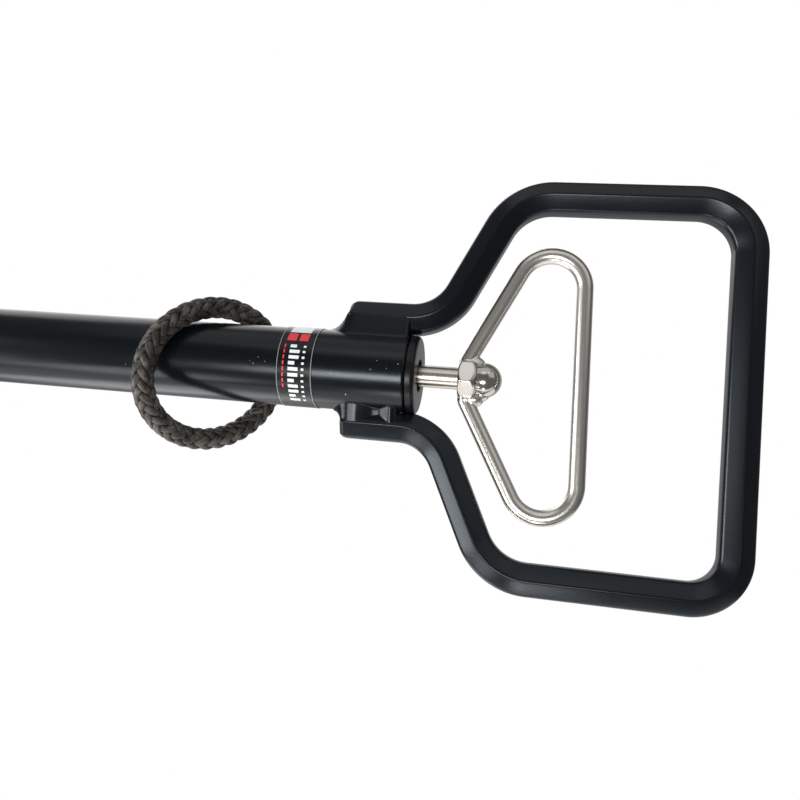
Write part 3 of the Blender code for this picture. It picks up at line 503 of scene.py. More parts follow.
def swept_rings(path: list[Point], section: list[Point]) -> list[list[Vector]]:
    """Places a section square to a path in the XZ plane at each of its points.

    Args:
        path: The path's (x, z) points.
        section: The section's (sideways, outward) points.

    Returns:
        One ring of points for each point of the path.
    """
    rings = []
    points = [Vector(point) for point in path]
    for i, point in enumerate(points):
        way = Vector((0, 0))
        if i > 0:
            way += (point - points[i - 1]).normalized()
        if i < len(points) - 1:
            way += (points[i + 1] - point).normalized()
        half = 1.0 if i in (0, len(points) - 1) else way.length / 2
        out = Vector((way.y, -way.x)).normalized() / half
        rings.append([Vector((point.x + out.x * b, a, point.y + out.y * b)) for a, b in section])
    return rings


def lathed(name: str, profile: list[Point], sides: int = 96) -> bpy.types.Mesh:
    """Turns a profile about the X axis.

    Args:
        name: The mesh's name.
        profile: (x, radius) points; it closes on itself, unless it starts and ends on the axis.
        sides: Steps round the axis.

    Returns:
        The new mesh.
    """
    shape = bmesh.new()
    loops = []
    for x, radius in profile:
        if radius < 1e-7:
            loops.append([shape.verts.new((x, 0, 0))])
            continue
        loops.append([shape.verts.new((x, y, z)) for y, z in circle(radius, sides)])
    pairs = list(zip(loops, loops[1:]))
    if len(loops[0]) > 1:
        pairs.append((loops[-1], loops[0]))
    for ring, following in pairs:
        for i in range(sides):
            j = (i + 1) % sides
            corners = [ring[i % len(ring)], ring[j % len(ring)]]
            corners += [following[j % len(following)], following[i % len(following)]]
            distinct = list(dict.fromkeys(corners))
            if len(distinct) > 2:
                shape.faces.new(distinct)
    return mesh_from(shape, name)


def fused(name: str, meshes: list[bpy.types.Mesh], voxel: float, rounds: int) -> bpy.types.Mesh:
    """Melts several closed meshes into one skin and smooths it, as a weld bead flows.

    Args:
        name: The new mesh's name.
        meshes: The meshes, which are removed.
        voxel: The size of the skin's grid.
        rounds: How many times it is smoothed.

    Returns:
        The new mesh.
    """
    shape = bmesh.new()
    for mesh in meshes:
        pour(mesh, shape)
    holder = bpy.data.objects.new(name, mesh_from(shape, name))
    bpy.context.scene.collection.objects.link(holder)
    remesh = holder.modifiers.new("Fuse", "REMESH")
    remesh.mode = "VOXEL"
    remesh.voxel_size = voxel
    smooth = holder.modifiers.new("Flow", "SMOOTH")
    smooth.factor = 0.5
    smooth.iterations = rounds
    bpy.context.view_layer.update()
    graph = bpy.context.evaluated_depsgraph_get()
    mesh = bpy.data.meshes.new_from_object(holder.evaluated_get(graph))
    old = holder.data
    bpy.data.objects.remove(holder)
    bpy.data.meshes.remove(old)
    return mesh


def blob(name: str, centre: Place, size: Place) -> bpy.types.Mesh:
    """A rounded lump.

    Args:
        name: The mesh's name.
        centre: Its middle.
        size: Its half sizes.

    Returns:
        The new mesh.
    """
    shape = bmesh.new()
    bmesh.ops.create_icosphere(shape, subdivisions=3, radius=1.0)
    shape.transform(Matrix.Translation(centre) @ Matrix.Diagonal((*size, 1.0)))
    return mesh_from(shape, name)


def prune(mesh: bpy.types.Mesh, hidden: Callable[[Vector], bool]) -> bpy.types.Mesh:
    """Removes the points of a mesh that lie hidden in its neighbours.

    Args:
        mesh: The mesh.
        hidden: Tells of a point whether it is hidden.

    Returns:
        The same mesh.
    """
    shape = bmesh.new()
    shape.from_mesh(mesh)
    gone = [v for v in shape.verts if hidden(v.co)]
    bmesh.ops.delete(shape, geom=gone, context="VERTS")
    shape.to_mesh(mesh)
    shape.free()
    return mesh


def add_piece(
    name: str,
    mesh: bpy.types.Mesh,
    finishes: list[Finish],
    body: Body,
    replaced: tuple[str, ...] = (),
    smooth_deg: float = 35.0,
) -> bpy.types.Object:
    """Adds a piece to the scene, dresses it and rides it on its body.

    Args:
        name: The piece's name.
        mesh: Its mesh, in place.
        finishes: Its finishes, in the order of the mesh's material numbers.
        body: The CAD body that it moves with.
        replaced: The CAD nodes that it stands for.
        smooth_deg: Edges sharper than this stay crisp.

    Returns:
        The piece.
    """
    for finish in finishes:
        mesh.materials.append(finish.material())
    mesh.shade_smooth()
    mesh.set_sharp_from_angle(angle=math.radians(smooth_deg))
    piece = bpy.data.objects.new(name, mesh)
    bpy.context.scene.collection.objects.link(piece)
    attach(piece, body.value)
    if replaced:
        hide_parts(*replaced)
    LOG.info("%s: %d faces on %s", name, len(mesh.polygons), body.value)
    return piece


@dataclass
class Lamp:
    """A soft rectangular lamp that shines at a point of the handle."""

    name: str
    towards: Place  # direction from the object to the lamp
    distance: float
    size: Point
    radiance: float

    def build(self, target: Vector) -> None:
        """Makes the lamp.

        Args:
            target: The point that it faces.
        """
        light = bpy.data.lights.new(self.name, "AREA")
        light.shape = "RECTANGLE"
        light.size, light.size_y = self.size
        light.energy = self.radiance * math.pi * self.size[0] * self.size[1]
        lamp = bpy.data.objects.new(self.name, light)
        bpy.context.scene.collection.objects.link(lamp)
        way = Vector(self.towards).normalized()
        lamp.location = target + way * self.distance
        lamp.rotation_euler = (-way).to_track_quat("-Z", "Y").to_euler()


@dataclass
class Studio:
    """The photograph's view, a pale floor and plain soft light."""

    location: Place = (-0.07856, -0.26842, -0.03724)
    right: Place = (0.98204, 0.16237, 0.09603)
    up: Place = (-0.07771, -0.11563, 0.99024)
    back: Place = (0.17189, -0.97993, -0.10094)
    lens: float = 33.10
    floor_z: float = -1.05
    floor_half: float = 1.3
    floor_front: float = 0.32  # how far the floor comes towards the camera
    floor_grey: str = "#E6E6E6"
    floor_glow: float = 0.72  # lifts the floor to white where it is seen or mirrored
    target: Place = (-0.08, 0.0, 0.0)  # what the lamps face
    plain_level: float = 0.36  # of the light from all round
    mirror_level: float = 0.17  # of the room on the camera's side, as mirrors see it
    rear_level: float = 0.6  # of the surround behind the object, as mirrors see it
    rear_edge: Point = (0.45, 0.95)  # how far to the rear the brighter part starts and is full
    lamps: tuple[Lamp, ...] = (
        Lamp("low_left_key", (-0.83, -0.36, -0.43), 2.0, (0.80, 0.68), 8.0),
        Lamp("corner_fill", (-0.52, -0.44, -0.73), 1.2, (0.36, 0.36), 4.5),
        Lamp("under_front", (-0.05, -0.40, -0.91), 1.0, (0.18, 0.19), 9.5),
        Lamp("camera_side", (-0.10, -0.93, -0.36), 2.0, (0.80, 0.44), 15.5),
        Lamp("front_high", (-0.08, -0.73, 0.68), 2.0, (0.9, 0.7), 0.6),
        Lamp("left_side", (-0.76, -0.65, 0.07), 3.0, (0.78, 0.78), 2.2),
        Lamp("far_left", (-0.95, -0.28, -0.05), 3.0, (0.78, 1.0), 14.0),
        Lamp("rear_left_high", (-0.53, 0.57, 0.63), 2.2, (1.8, 1.8), 1.4),
        Lamp("high_front", (-0.03, -0.42, 0.91), 2.2, (2.4, 2.0), 0.5),
        Lamp("below_left", (-0.50, 0.33, -0.81), 1.1, (0.44, 0.55), 2.6),
        Lamp("right_high", (0.65, -0.49, 0.58), 2.0, (1.4, 1.4), 0.5),
    )

    def build(self) -> None:
        """Makes the camera, floor, world and lamps."""
        self.build_camera()
        self.build_floor()
        self.build_world()
        for lamp in self.lamps:
            lamp.build(Vector(self.target))
        bpy.context.scene.view_settings.view_transform = "Standard"

    def build_camera(self) -> None:
        """Stands the camera where the photograph was taken from."""
        data = bpy.data.cameras.new("camera")
        data.sensor_width = 36.0
        data.lens = self.lens
        data.clip_start, data.clip_end = 0.01, 50.0
        camera = bpy.data.objects.new("camera", data)
        bpy.context.scene.collection.objects.link(camera)
        turn = Matrix((self.right, self.up, self.back)).transposed().to_4x4()
        camera.matrix_world = Matrix.Translation(self.location) @ turn
        bpy.context.scene.camera = camera

    def any_of(self, tree: bpy.types.NodeTree, *kinds: str) -> bpy.types.NodeSocket:
        """One where a ray is of one of the given kinds, and zero elsewhere.

        Args:
            tree: The nodes of the floor or the world.
            kinds: Names of the Light Path node's outputs.

        Returns:
            The socket with that value.
        """
        rays = add_node(tree, "ShaderNodeLightPath").outputs
        value = rays[kinds[0]]
        for kind in kinds[1:]:
            pair = {0: value, 1: rays[kind]}
            value = add_node(tree, "ShaderNodeMath", {"operation": "MAXIMUM"}, pair).outputs[0]
        return value

    def build_floor(self) -> None:
        """Lays a wide pale floor that looks white and keeps a faint shadow."""
        half = self.floor_half
        front = -self.floor_front
        shape = bmesh.new()
        corners = ((-half, front), (half, front), (half, half), (-half, half))
        shape.faces.new([shape.verts.new((x, y, self.floor_z)) for x, y in corners])
        mesh = bpy.data.meshes.new("floor")
        shape.to_mesh(mesh)
        shape.free()
        material = bpy.data.materials.new("pale_floor")
        material.use_nodes = True
        tree = material.node_tree
        tree.nodes.clear()
        grey = {"Color": linear(self.floor_grey)}
        matt = add_node(tree, "ShaderNodeBsdfDiffuse", grey).outputs[0]
        glow = add_node(tree, "ShaderNodeEmission", {"Strength": self.floor_glow}).outputs[0]
        both = add_node(tree, "ShaderNodeAddShader", {}, {0: matt, 1: glow}).outputs[0]
        seen = self.any_of(tree, "Is Camera Ray", "Is Glossy Ray", "Is Transmission Ray")
        mixed = add_node(tree, "ShaderNodeMixShader", {}, {0: seen, 1: matt, 2: both})
        add_node(tree, "ShaderNodeOutputMaterial", {}, {"Surface": mixed.outputs[0]})
        mesh.materials.append(material)
        floor = bpy.data.objects.new("floor", mesh)
        bpy.context.scene.collection.objects.link(floor)

    def build_world(self) -> None:
        """Makes a white surround, darker on the camera's side for mirrors."""
        world = bpy.data.worlds.new("studio")
        bpy.context.scene.world = world
        world.use_nodes = True
        tree = world.node_tree
        tree.nodes.clear()
        way = add_node(tree, "ShaderNodeTexCoord").outputs["Generated"]
        parts = add_node(tree, "ShaderNodeSeparateXYZ", {}, {"Vector": way}).outputs
        span = {
            "interpolation_type": "SMOOTHSTEP",
            "From Min": self.rear_edge[0],
            "From Max": self.rear_edge[1],
            "To Min": self.mirror_level,
            "To Max": self.rear_level,
        }
        rear = add_node(tree, "ShaderNodeMapRange", span, {"Value": parts["Y"]}).outputs["Result"]
        white = {"Color": linear("#FFFFFF")}
        kind = "ShaderNodeBackground"
        plain = add_node(tree, kind, {**white, "Strength": self.plain_level}).outputs[0]
        mirrored = add_node(tree, kind, white, {"Strength": rear}).outputs[0]
        backdrop = add_node(tree, kind, {**white, "Strength": 1.0}).outputs[0]
        glossy = self.any_of(tree, "Is Glossy Ray")
        lit = add_node(tree, "ShaderNodeMixShader", {}, {0: glossy, 1: plain, 2: mirrored})
        clear = self.any_of(tree, "Is Camera Ray", "Is Transmission Ray")
        links = {0: clear, 1: lit.outputs[0], 2: backdrop}
        mixed = add_node(tree, "ShaderNodeMixShader", {}, links)
        add_node(tree, "ShaderNodeOutputWorld", {}, {"Surface": mixed.outputs[0]})


@dataclass
class Braid:
    """The rope's mesh in the making, with the layers that its finish reads."""

    frames: list[Frame]  # place, outward and sideways at each step of the rope's middle line
    rope_radius: float
    shape: bmesh.types.BMesh = field(default_factory=bmesh.new)

    def __post_init__(self) -> None:
        """Adds the layers of the strands' UVs and of how far a point stands out."""
        self.lie = self.shape.loops.layers.uv.new("strand")
        self.crest = self.shape.verts.layers.float.new("crest")

    def vert(self, place: Vector, height: float) -> bmesh.types.BMVert:
        """Adds a point.

        Args:
            place: Where it is.
            height: How far it stands out from the rope's middle.

        Returns:
            The point.
        """
        low, span = 0.55, 0.42  # of the heights that show, in rope radii
        vert = self.shape.verts.new(place)
        vert[self.crest] = min(1.0, max(0.0, (height / self.rope_radius - low) / span))
        return vert

    def skin(
        self,
        rings: list[list[bmesh.types.BMVert]],
        step: float,
        shift: float = 0.0,
        spread: float = 1.0,
    ) -> None:
        """Joins rings with faces and gives these their UVs.

        Args:
            rings: The rings in order, with the first again at the end of a closed row.
            step: How far the UV goes from ring to ring.
            shift: The UV across a ring's first side.
            spread: How far the UV goes across a whole ring.
        """
        sides = len(rings[0])
        for i, (ring, following) in enumerate(zip(rings, rings[1:])):
            for k in range(sides):
                j = (k + 1) % sides
                face = self.shape.faces.new((ring[k], ring[j], following[j], following[k]))
                corners = ((k, i), (k + 1, i), (k + 1, i + 1), (k, i + 1))
                for loop, (u, v) in zip(face.loops, corners):
                    loop[self.lie].uv = (u / sides * spread + shift, v * step)


@dataclass
class RopeRing:
    """The endless braided rope that hangs on the tube, made of twelve strands round a core."""

    radius: float = 0.0043
    centre: Point = (-0.0805, -0.0009)  # from the plug's face and from the middle plane
    half_width: float = 0.0275
    half_height: float = 0.0261
    yaw_deg: float = 39.2
    slant: float = 0.15
    touch: float = 0.0194  # from the tube's axis to the rope's middle
    hang_spots: int = 44  # places of the ring where it may touch the tube
    hang_start: float = -0.030
    hang_step: float = 0.00005
    length: float = 0.169
    families: int = 6  # strands that wind each way
    turns: int = 6  # of each strand on its way round the ring
    steps: int = 460
    strand_half: Point = (0.00145, 0.00085)  # half the width and thickness of a strand
    strand_sides: int = 10
    strand_stretch: float = 1.15  # a strand's length for the rope's
    middle: float = 0.00282  # from the rope's middle to a strand's, on average
    weave: float = 0.00062  # how far a strand rises and dives
    core_radius: float = 0.0024
    core_sides: int = 12
    # tucks of the splice: angle round the ring, angle round the rope from its outer side, lean from
    # the rope's way in degrees, half length and half width in mm
    tucks: tuple[tuple[float, ...], ...] = (
        (3.20, 98, 8, 2.1, 1.25),
        (3.33, 58, -6, 1.9, 1.15),
        (3.44, 118, 20, 1.6, 1.05),
        (3.53, 76, 12, 2.0, 1.20),
        (3.70, 108, 28, 1.7, 1.05),
        (3.84, 70, -14, 1.8, 1.10),
        (3.98, 102, 24, 1.4, 1.00),
    )
    tuck_half: float = 0.00082  # half the thickness of a tuck
    tuck_rise: float = 0.75  # of the weave, in its middle
    tuck_dive: float = 0.0009  # how deep its ends go
    tuck_blunt: float = 2.4  # exponent that rounds its ends, blunter when it is larger
    tuck_sides: int = 12
    tuck_rows: int = 14

    def point(self, angle: float, drop: float) -> Vector:
        """A point of the rope's middle line.

        Args:
            angle: Round the ring from its top.
            drop: How far the ring is lowered.

        Returns:
            The point.
        """
        yaw = math.radians(self.yaw_deg)
        level = self.half_height * math.cos(angle)
        along = self.half_width * math.sin(angle) + self.slant * level
        x = PLUG_FACE_X + self.centre[0] + along * math.sin(yaw)
        y = self.centre[1] + along * math.cos(yaw)
        return Vector((x, y, level - self.half_height - drop))

    def hang(self) -> float:
        """Lowers the ring until it bears on the tube, by the same steps as the CAD source.

        Returns:
            How far it is lowered.
        """
        angles = [2 * math.pi * i / self.hang_spots for i in range(self.hang_spots)]
        drop = self.hang_start
        while True:
            points = [self.point(angle, drop + self.hang_step) for angle in angles]
            if any(math.hypot(p.y, p.z) <= self.touch for p in points if p.z > 0):
                return drop
            drop += self.hang_step

    def frames(self, drop: float) -> list[Frame]:
        """The middle line with its outward and sideways directions.

        Args:
            drop: How far the ring is lowered.

        Returns:
            Place, outward and sideways for each step.
        """
        yaw = math.radians(self.yaw_deg)
        square = Vector((math.cos(yaw), -math.sin(yaw), 0.0))
        near = 0.01  # half the angle that a direction is taken over
        found = []
        for i in range(self.steps):
            angle = 2 * math.pi * i / self.steps
            way = (self.point(angle + near, drop) - self.point(angle - near, drop)).normalized()
            found.append((self.point(angle, drop), square.cross(way).normalized(), square))
        return found

    def strand(self, index: int, family: int, frames: list[Frame]) -> list[Vector]:
        """The middle line of one strand.

        Args:
            index: Its number in its family.
            family: 1 for those that wind one way and -1 for the other.
            frames: The rope's middle line.

        Returns:
            Its points.
        """
        points = []
        for i, (place, outward, square) in enumerate(frames):
            share = i / self.steps
            angle = 2 * math.pi * (index / self.families + family * self.turns * share)
            wave = math.cos(3 * angle - math.pi / 4)  # over and under three crossings a turn
            rise = math.copysign(abs(wave) ** 0.7, wave) * family
            radius = self.middle + self.weave * rise
            points.append(place + (outward * math.cos(angle) + square * math.sin(angle)) * radius)
        return points

    def build(self) -> bpy.types.Object:
        """Braids the rope and hangs it on the tube.

        Returns:
            The piece.
        """
        drop = self.hang()
        braid = Braid(self.frames(drop), self.radius)
        for family in (1, -1):
            for index in range(self.families):
                self.add_strand(braid, self.strand(index, family, braid.frames))
        self.add_core(braid)
        for tuck in self.tucks:
            self.add_tuck(braid, *tuck)
        mesh = mesh_from(braid.shape, "rope_ring_braid")
        node = "rope_ring"
        piece = add_piece("rope_ring_braid", mesh, [BRAID], Body.RING, (node,), smooth_deg=80)
        return piece

    def add_strand(self, braid: Braid, points: list[Vector]) -> None:
        """Adds one plump strand.

        Args:
            braid: The rope's mesh.
            points: The strand's middle line.
        """
        wide, thick = self.strand_half
        count = len(points)
        rings = []
        for i, (point, (place, *_)) in enumerate(zip(points, braid.frames)):
            way = (points[(i + 1) % count] - points[i - 1]).normalized()
            outward = (point - place).normalized()
            across = way.cross(outward).normalized()
            outward = across.cross(way).normalized()
            ring = []
            for k in range(self.strand_sides):
                angle = 2 * math.pi * k / self.strand_sides
                offset = across * (wide * math.cos(angle)) + outward * (thick * math.sin(angle))
                spot = point + offset
                ring.append(braid.vert(spot, (spot - place).length))
            rings.append(ring)
        braid.skin(rings + rings[:1], self.length * self.strand_stretch / count)

    def add_tuck(
        self,
        braid: Braid,
        angle: float,
        around: float,
        lean: float,
        half_length: float,
        half_width: float,
    ) -> None:
        """Adds one strand end of the splice, tucked under the braid at both ends.

        Args:
            braid: The rope's mesh.
            angle: Its place round the ring.
            around: Its place round the rope, in degrees from the outer side.
            lean: Its angle to the rope's way, in degrees.
            half_length: Half its length, in mm.
            half_width: Half its width, in mm.
        """
        start = angle / (2 * math.pi) * self.steps
        place, outward, square = braid.frames[round(start) % self.steps]
        way = square.cross(outward).normalized()
        turn, tilt = math.radians(around), math.radians(lean)
        out = outward * math.cos(turn) + square * math.sin(turn)
        across = way.cross(out).normalized()
        along = way * math.cos(tilt) + across * math.sin(tilt)
        across = out.cross(along).normalized()
        middle = place + out * (self.middle + self.weave * self.tuck_rise)
        rings = []
        for i in range(1, self.tuck_rows):
            share = -1 + 2 * i / self.tuck_rows
            size = (1 - abs(share) ** self.tuck_blunt) ** 0.5
            bend = out * (-self.tuck_dive * share**2)
            ring = []
            for k in range(self.tuck_sides):
                spin = 2 * math.pi * k / self.tuck_sides
                flat = across * (half_width * MM * size * math.cos(spin))
                thick = out * (self.tuck_half * size * math.sin(spin))
                spot = middle + along * (half_length * MM * share) + bend + flat + thick
                ring.append(braid.vert(spot, (spot - place).dot(out)))
            rings.append(ring)
        braid.skin(rings, 2 * half_length * MM / self.tuck_rows, shift=around)
        braid.shape.faces.new(rings[0])
        braid.shape.faces.new(rings[-1])

    def add_core(self, braid: Braid) -> None:
        """Adds the core that closes the gaps between strands, at height nought, so that it takes
        the painted shade of the gaps all over.

        Args:
            braid: The rope's mesh.
        """
        rings = []
        for place, outward, square in braid.frames[::4]:
            ring = []
            for k in range(self.core_sides):
                angle = 2 * math.pi * k / self.core_sides
                way = outward * math.cos(angle) + square * math.sin(angle)
                ring.append(braid.vert(place + way * self.core_radius, 0.0))
            rings.append(ring)
        braid.skin(rings + rings[:1], 0.0, shift=0.5, spread=0.0)


@dataclass
class MainTube:
    """The round tube with its rolled rear rim."""

    wall: float = 0.0015
    rim: float = 0.0012  # radius of the rear edge
    rim_steps: int = 8
    chamfer: float = 0.0004  # of the front edge
    front_x: float = -0.7957
    # specks of dust baked into the coat: mm from the plug's face, degrees above the side that
    # faces the camera, and radius in mm
    nibs: tuple[Place, ...] = (
        (24.6, -43.0, 0.25),
        (5.8, 6.0, 0.17),
        (15.5, -4.0, 0.17),
        (13.6, 9.0, 0.14),
        (9.8, -1.0, 0.12),
        (59.5, -7.0, 0.18),
        (57.8, 2.0, 0.14),
        (55.1, -3.5, 0.13),
        (60.8, -4.0, 0.11),
        (29.9, -14.0, 0.11),
        (110.3, -22.0, 0.15),
    )

    def build(self) -> None:
        """Turns the tube."""
        inner = TUBE_RADIUS - self.wall
        outline = []
        for i in range(self.rim_steps + 1):
            turn = math.radians(90 * i / self.rim_steps)
            x = TUBE_REAR_X - self.rim * (1 - math.sin(turn))
            outline.append((x, TUBE_RADIUS - self.rim * (1 - math.cos(turn))))
        outline += [(TUBE_REAR_X, inner), (self.front_x, inner)]
        outline.append((self.front_x, TUBE_RADIUS - self.chamfer))
        outline.append((self.front_x + self.chamfer, TUBE_RADIUS))
        shape = bmesh.new()
        pour(lathed("tube_turning", outline, 128), shape)
        for nib in self.nibs:
            self.add_nib(shape, *nib)
        mesh = mesh_from(shape, "tube_skin")
        add_piece("tube_skin", mesh, [TUBE_COAT, NIB], Body.FRAME, ("main_tube",))

    def add_nib(
        self, shape: bmesh.types.BMesh, back_mm: float, angle_deg: float, radius_mm: float
    ) -> None:
        """Adds one speck to the tube's mesh, half sunk in the coat.

        Args:
            shape: The tube's mesh.
            back_mm: Its distance from the plug's face.
            angle_deg: Its place round the tube, from the side that faces the camera, upwards.
            radius_mm: Its radius.
        """
        turn = math.radians(angle_deg)
        y, z = -TUBE_RADIUS * math.cos(turn), TUBE_RADIUS * math.sin(turn)
        place = Matrix.Translation((PLUG_FACE_X - back_mm * MM, y, z))
        radius = radius_mm * MM
        made = bmesh.ops.create_icosphere(shape, subdivisions=2, radius=radius, matrix=place)
        for vert in made["verts"]:
            for face in vert.link_faces:
                face.material_index = 1


@dataclass
class Handle:
    """The D-shaped handle bent from hexagonal bar, with the welds of its feet."""

    half_height: float = 0.0695
    slope_deg: float = 64.2
    slope_x: float = 0.0167  # from the plug's face to a leg's line, at the next height
    slope_z: float = 0.040
    foot_length: Point = (0.0273, 0.0281)  # lower and upper
    foot_z: Point = (0.0196, 0.0208)  # lower and upper
    corner_radii: tuple[float, ...] = (0.020, 0.0215, 0.0155, 0.0185, 0.0215, 0.020)
    ridge_radius: float = 0.0012  # of the section's front and rear edges
    edge_radius: float = 0.0026  # of its other four
    foot_cut: Point = (0.0014, 0.0026)  # off a foot's outer corner, lower and upper
    end_rounding: float = 0.0011
    end_steps: tuple[float, ...] = (0.0, 0.0002, 0.0006, 0.0012, 0.0020, 0.0028)
    weld_voxel: float = 0.00036
    weld_rounds: int = 14
    weld_depth: float = 0.0012  # how far a weld reaches into the tube
    flank_steps: int = 6
    core_inset: float = 0.00022  # how far the foot inside a weld is drawn in
    core_end: float = 0.004  # from the plug's face
    core_cut: float = 0.6  # of the foot's own cut, off its front
    saddle_radii: Point = (0.01484, 0.0137)  # of the strip of tube under a weld
    saddle_ends: Point = (0.042, 0.0038)  # from the plug's face
    saddle_half_deg: int = 48
    saddle_step_deg: int = 4
    tube_hides: float = 0.0005  # how deep in the tube a weld's points are left out
    # rings of a weld: distance from the plug's face, top, half widths at the top and at the tube
    upper_weld: tuple[tuple[float, ...], ...] = (
        (0.0353, 0.0154, 0.0010, 0.0026),
        (0.0332, 0.0159, 0.0022, 0.0046),
        (0.0313, 0.0170, 0.0036, 0.0064),
        (0.0297, 0.0188, 0.0048, 0.0074),
        (0.0285, 0.0211, 0.0056, 0.0079),
        (0.0276, 0.0226, 0.0056, 0.0081),
        (0.0262, 0.0214, 0.0064, 0.0081),
        (0.0060, 0.0212, 0.0065, 0.0081),
        (0.0045, 0.0206, 0.0056, 0.0070),
    )
    lower_weld: tuple[tuple[float, ...], ...] = (
        (0.0312, 0.0156, 0.0012, 0.0028),
        (0.0293, 0.0163, 0.0028, 0.0050),
        (0.0279, 0.0180, 0.0042, 0.0064),
        (0.0268, 0.0206, 0.0052, 0.0072),
        (0.0250, 0.0206, 0.0062, 0.0080),
        (0.0215, 0.0206, 0.0062, 0.0080),
        (0.0185, 0.0203, 0.0052, 0.0070),
        (0.0155, 0.0195, 0.0042, 0.0058),
        (0.0128, 0.0190, 0.0040, 0.0054),
        (0.0106, 0.0200, 0.0050, 0.0068),
        (0.0090, 0.0206, 0.0060, 0.0080),
        (0.0074, 0.0204, 0.0056, 0.0074),
        (0.0062, 0.0196, 0.0040, 0.0054),
    )

    def path(self) -> list[Point]:
        """The bar's centreline.

        Returns:
            Its (x, z) points, from the lower foot to the upper one.
        """
        tangent = math.tan(math.radians(self.slope_deg))
        sides = []
        for side, foot_z, length in zip((-1, 1), self.foot_z, self.foot_length):
            knee = PLUG_FACE_X + self.slope_x + (foot_z - self.slope_z) / tangent
            shoulder = PLUG_FACE_X + self.slope_x + (self.half_height - self.slope_z) / tangent
            foot = PLUG_FACE_X - length
            heights = (self.half_height, self.half_height, foot_z, foot_z)
            places = (-BAR_FLATS / 2, shoulder, knee, foot)
            sides.append([(x, side * z) for x, z in zip(places, heights)])
        return filleted(sides[0][::-1] + sides[1], list(self.corner_radii))

    def section(self, inset: float = 0.0) -> list[Point]:
        """The bar's hexagon with rounded edges.

        Args:
            inset: How far it is drawn in.

        Returns:
            (sideways, outward) points.
        """
        corners = circle(BAR_FLATS / math.sqrt(3) - inset, 6)
        edge, ridge = self.edge_radius, self.ridge_radius
        return softened(corners, [ridge, edge, edge, ridge, edge, edge], 5)

    def bar(self) -> bpy.types.Mesh:
        """Sweeps the bar, with rounded ends that are cut back on the outside.

        Returns:
            The bar's mesh.
        """
        path = self.path()
        ends = [(path[0][0] + step, path[0][1]) for step in self.end_steps]
        other = [(path[-1][0] + step, path[-1][1]) for step in reversed(self.end_steps)]
        whole = ends + path[1:-1] + other
        rings = swept_rings(whole, self.section())
        rounding, half = self.end_rounding, BAR_FLATS / 2
        for i, depth in enumerate(self.end_steps):
            inset = rounding * (1 - math.sqrt(max(0.0, 1 - (1 - min(depth / rounding, 1.0)) ** 2)))
            scale = 1 - inset / half
            for number, cut in zip((i, -1 - i), self.foot_cut):
                middle = whole[number][1]
                side = math.copysign(1.0, middle)
                limit = half - max(0.0, cut - depth)
                for point in rings[number]:
                    out = (point.z - middle) * side
                    point.y *= scale
                    point.z = middle + side * min(out * scale, limit)
        return loft("handle_bar", rings)

    def weld_rows(self, side: Side) -> tuple[tuple[float, ...], ...]:
        """The rows that give one foot's weld its form."""
        return self.upper_weld if side is Side.UPPER else self.lower_weld

    def bead(self, name: str, side: Side) -> bpy.types.Mesh:
        """Lofts the weld between the tube and one foot.

        Args:
            name: The mesh's name.
            side: Which foot.

        Returns:
            The bead, which reaches a little into the tube.
        """
        low = TUBE_RADIUS - self.weld_depth
        loops = []
        for back, top, half_top, half_base in self.weld_rows(side):
            base = math.sqrt(TUBE_RADIUS**2 - half_base**2)
            shares = [i / self.flank_steps for i in range(self.flank_steps)]
            flank = [
                (half_top + (half_base - half_top) * share, top + (base - top) * share)
                for share in shares
            ]
            edge = math.asin(half_base / TUBE_RADIUS)
            bed = [(half_base, base), (low * math.sin(edge), low * math.cos(edge)), (0.0, low)]
            bed += [(-y, z) for y, z in reversed(bed[:2])]
            ring = [*flank, *bed, *[(-y, z) for y, z in reversed(flank)]]
            loops.append([Vector((PLUG_FACE_X - back, y, side.value * z)) for y, z in ring])
        return loft(name, loops)

    def foot_core(self, name: str, side: Side) -> bpy.types.Mesh:
        """The foot's own volume, drawn in a little, for its weld to flow round.

        Args:
            name: The mesh's name.
            side: Which foot.

        Returns:
            The mesh.
        """
        foot = int(side is Side.UPPER)
        z = side.value * self.foot_z[foot]
        start = PLUG_FACE_X - self.foot_length[foot] + self.foot_cut[foot] * self.core_cut
        path = [(start, z), (PLUG_FACE_X - self.core_end, z)]
        return loft(name, swept_rings(path, self.section(self.core_inset)))

    def tube_saddle(self, name: str, side: Side) -> bpy.types.Mesh:
        """The strip of the tube under a weld, drawn in a little, for the weld to flow on to.

        Args:
            name: The mesh's name.
            side: Which foot.

        Returns:
            The mesh.
        """
        outer, inner = self.saddle_radii
        half, step = self.saddle_half_deg, self.saddle_step_deg
        spread = [math.radians(angle) for angle in range(-half, half + step, step)]
        rings = []
        for back in self.saddle_ends:
            ring = [(outer * math.sin(a), outer * math.cos(a)) for a in spread]
            ring += [(inner * math.sin(a), inner * math.cos(a)) for a in reversed(spread)]
            rings.append([Vector((PLUG_FACE_X - back, y, side.value * z)) for y, z in ring])
        return loft(name, rings)

    def weld(self, side: Side) -> bpy.types.Mesh:
        """Melts the bead into its foot and the tube, and leaves out what the tube hides.

        Args:
            side: Which foot.

        Returns:
            The weld's mesh.
        """
        name = f"{side.name.lower()}_weld"
        meshes = [self.bead(name, side), self.foot_core(name, side), self.tube_saddle(name, side)]
        mesh = fused(name, meshes, self.weld_voxel, self.weld_rounds)
        hidden = TUBE_RADIUS - self.tube_hides
        return prune(mesh, lambda p: math.hypot(p.y, p.z) < hidden)

    def build(self) -> None:
        """Makes the bar and its two welds."""
        node = "handle_frame"
        bar = self.bar()
        add_piece("handle_bar", bar, [HANDLE_COAT], Body.FRAME, (node,), smooth_deg=60)
        for side in Side:
            name = f"weld_{side.name.lower()}"
            add_piece(name, self.weld(side), [HANDLE_COAT], Body.FRAME, smooth_deg=180)


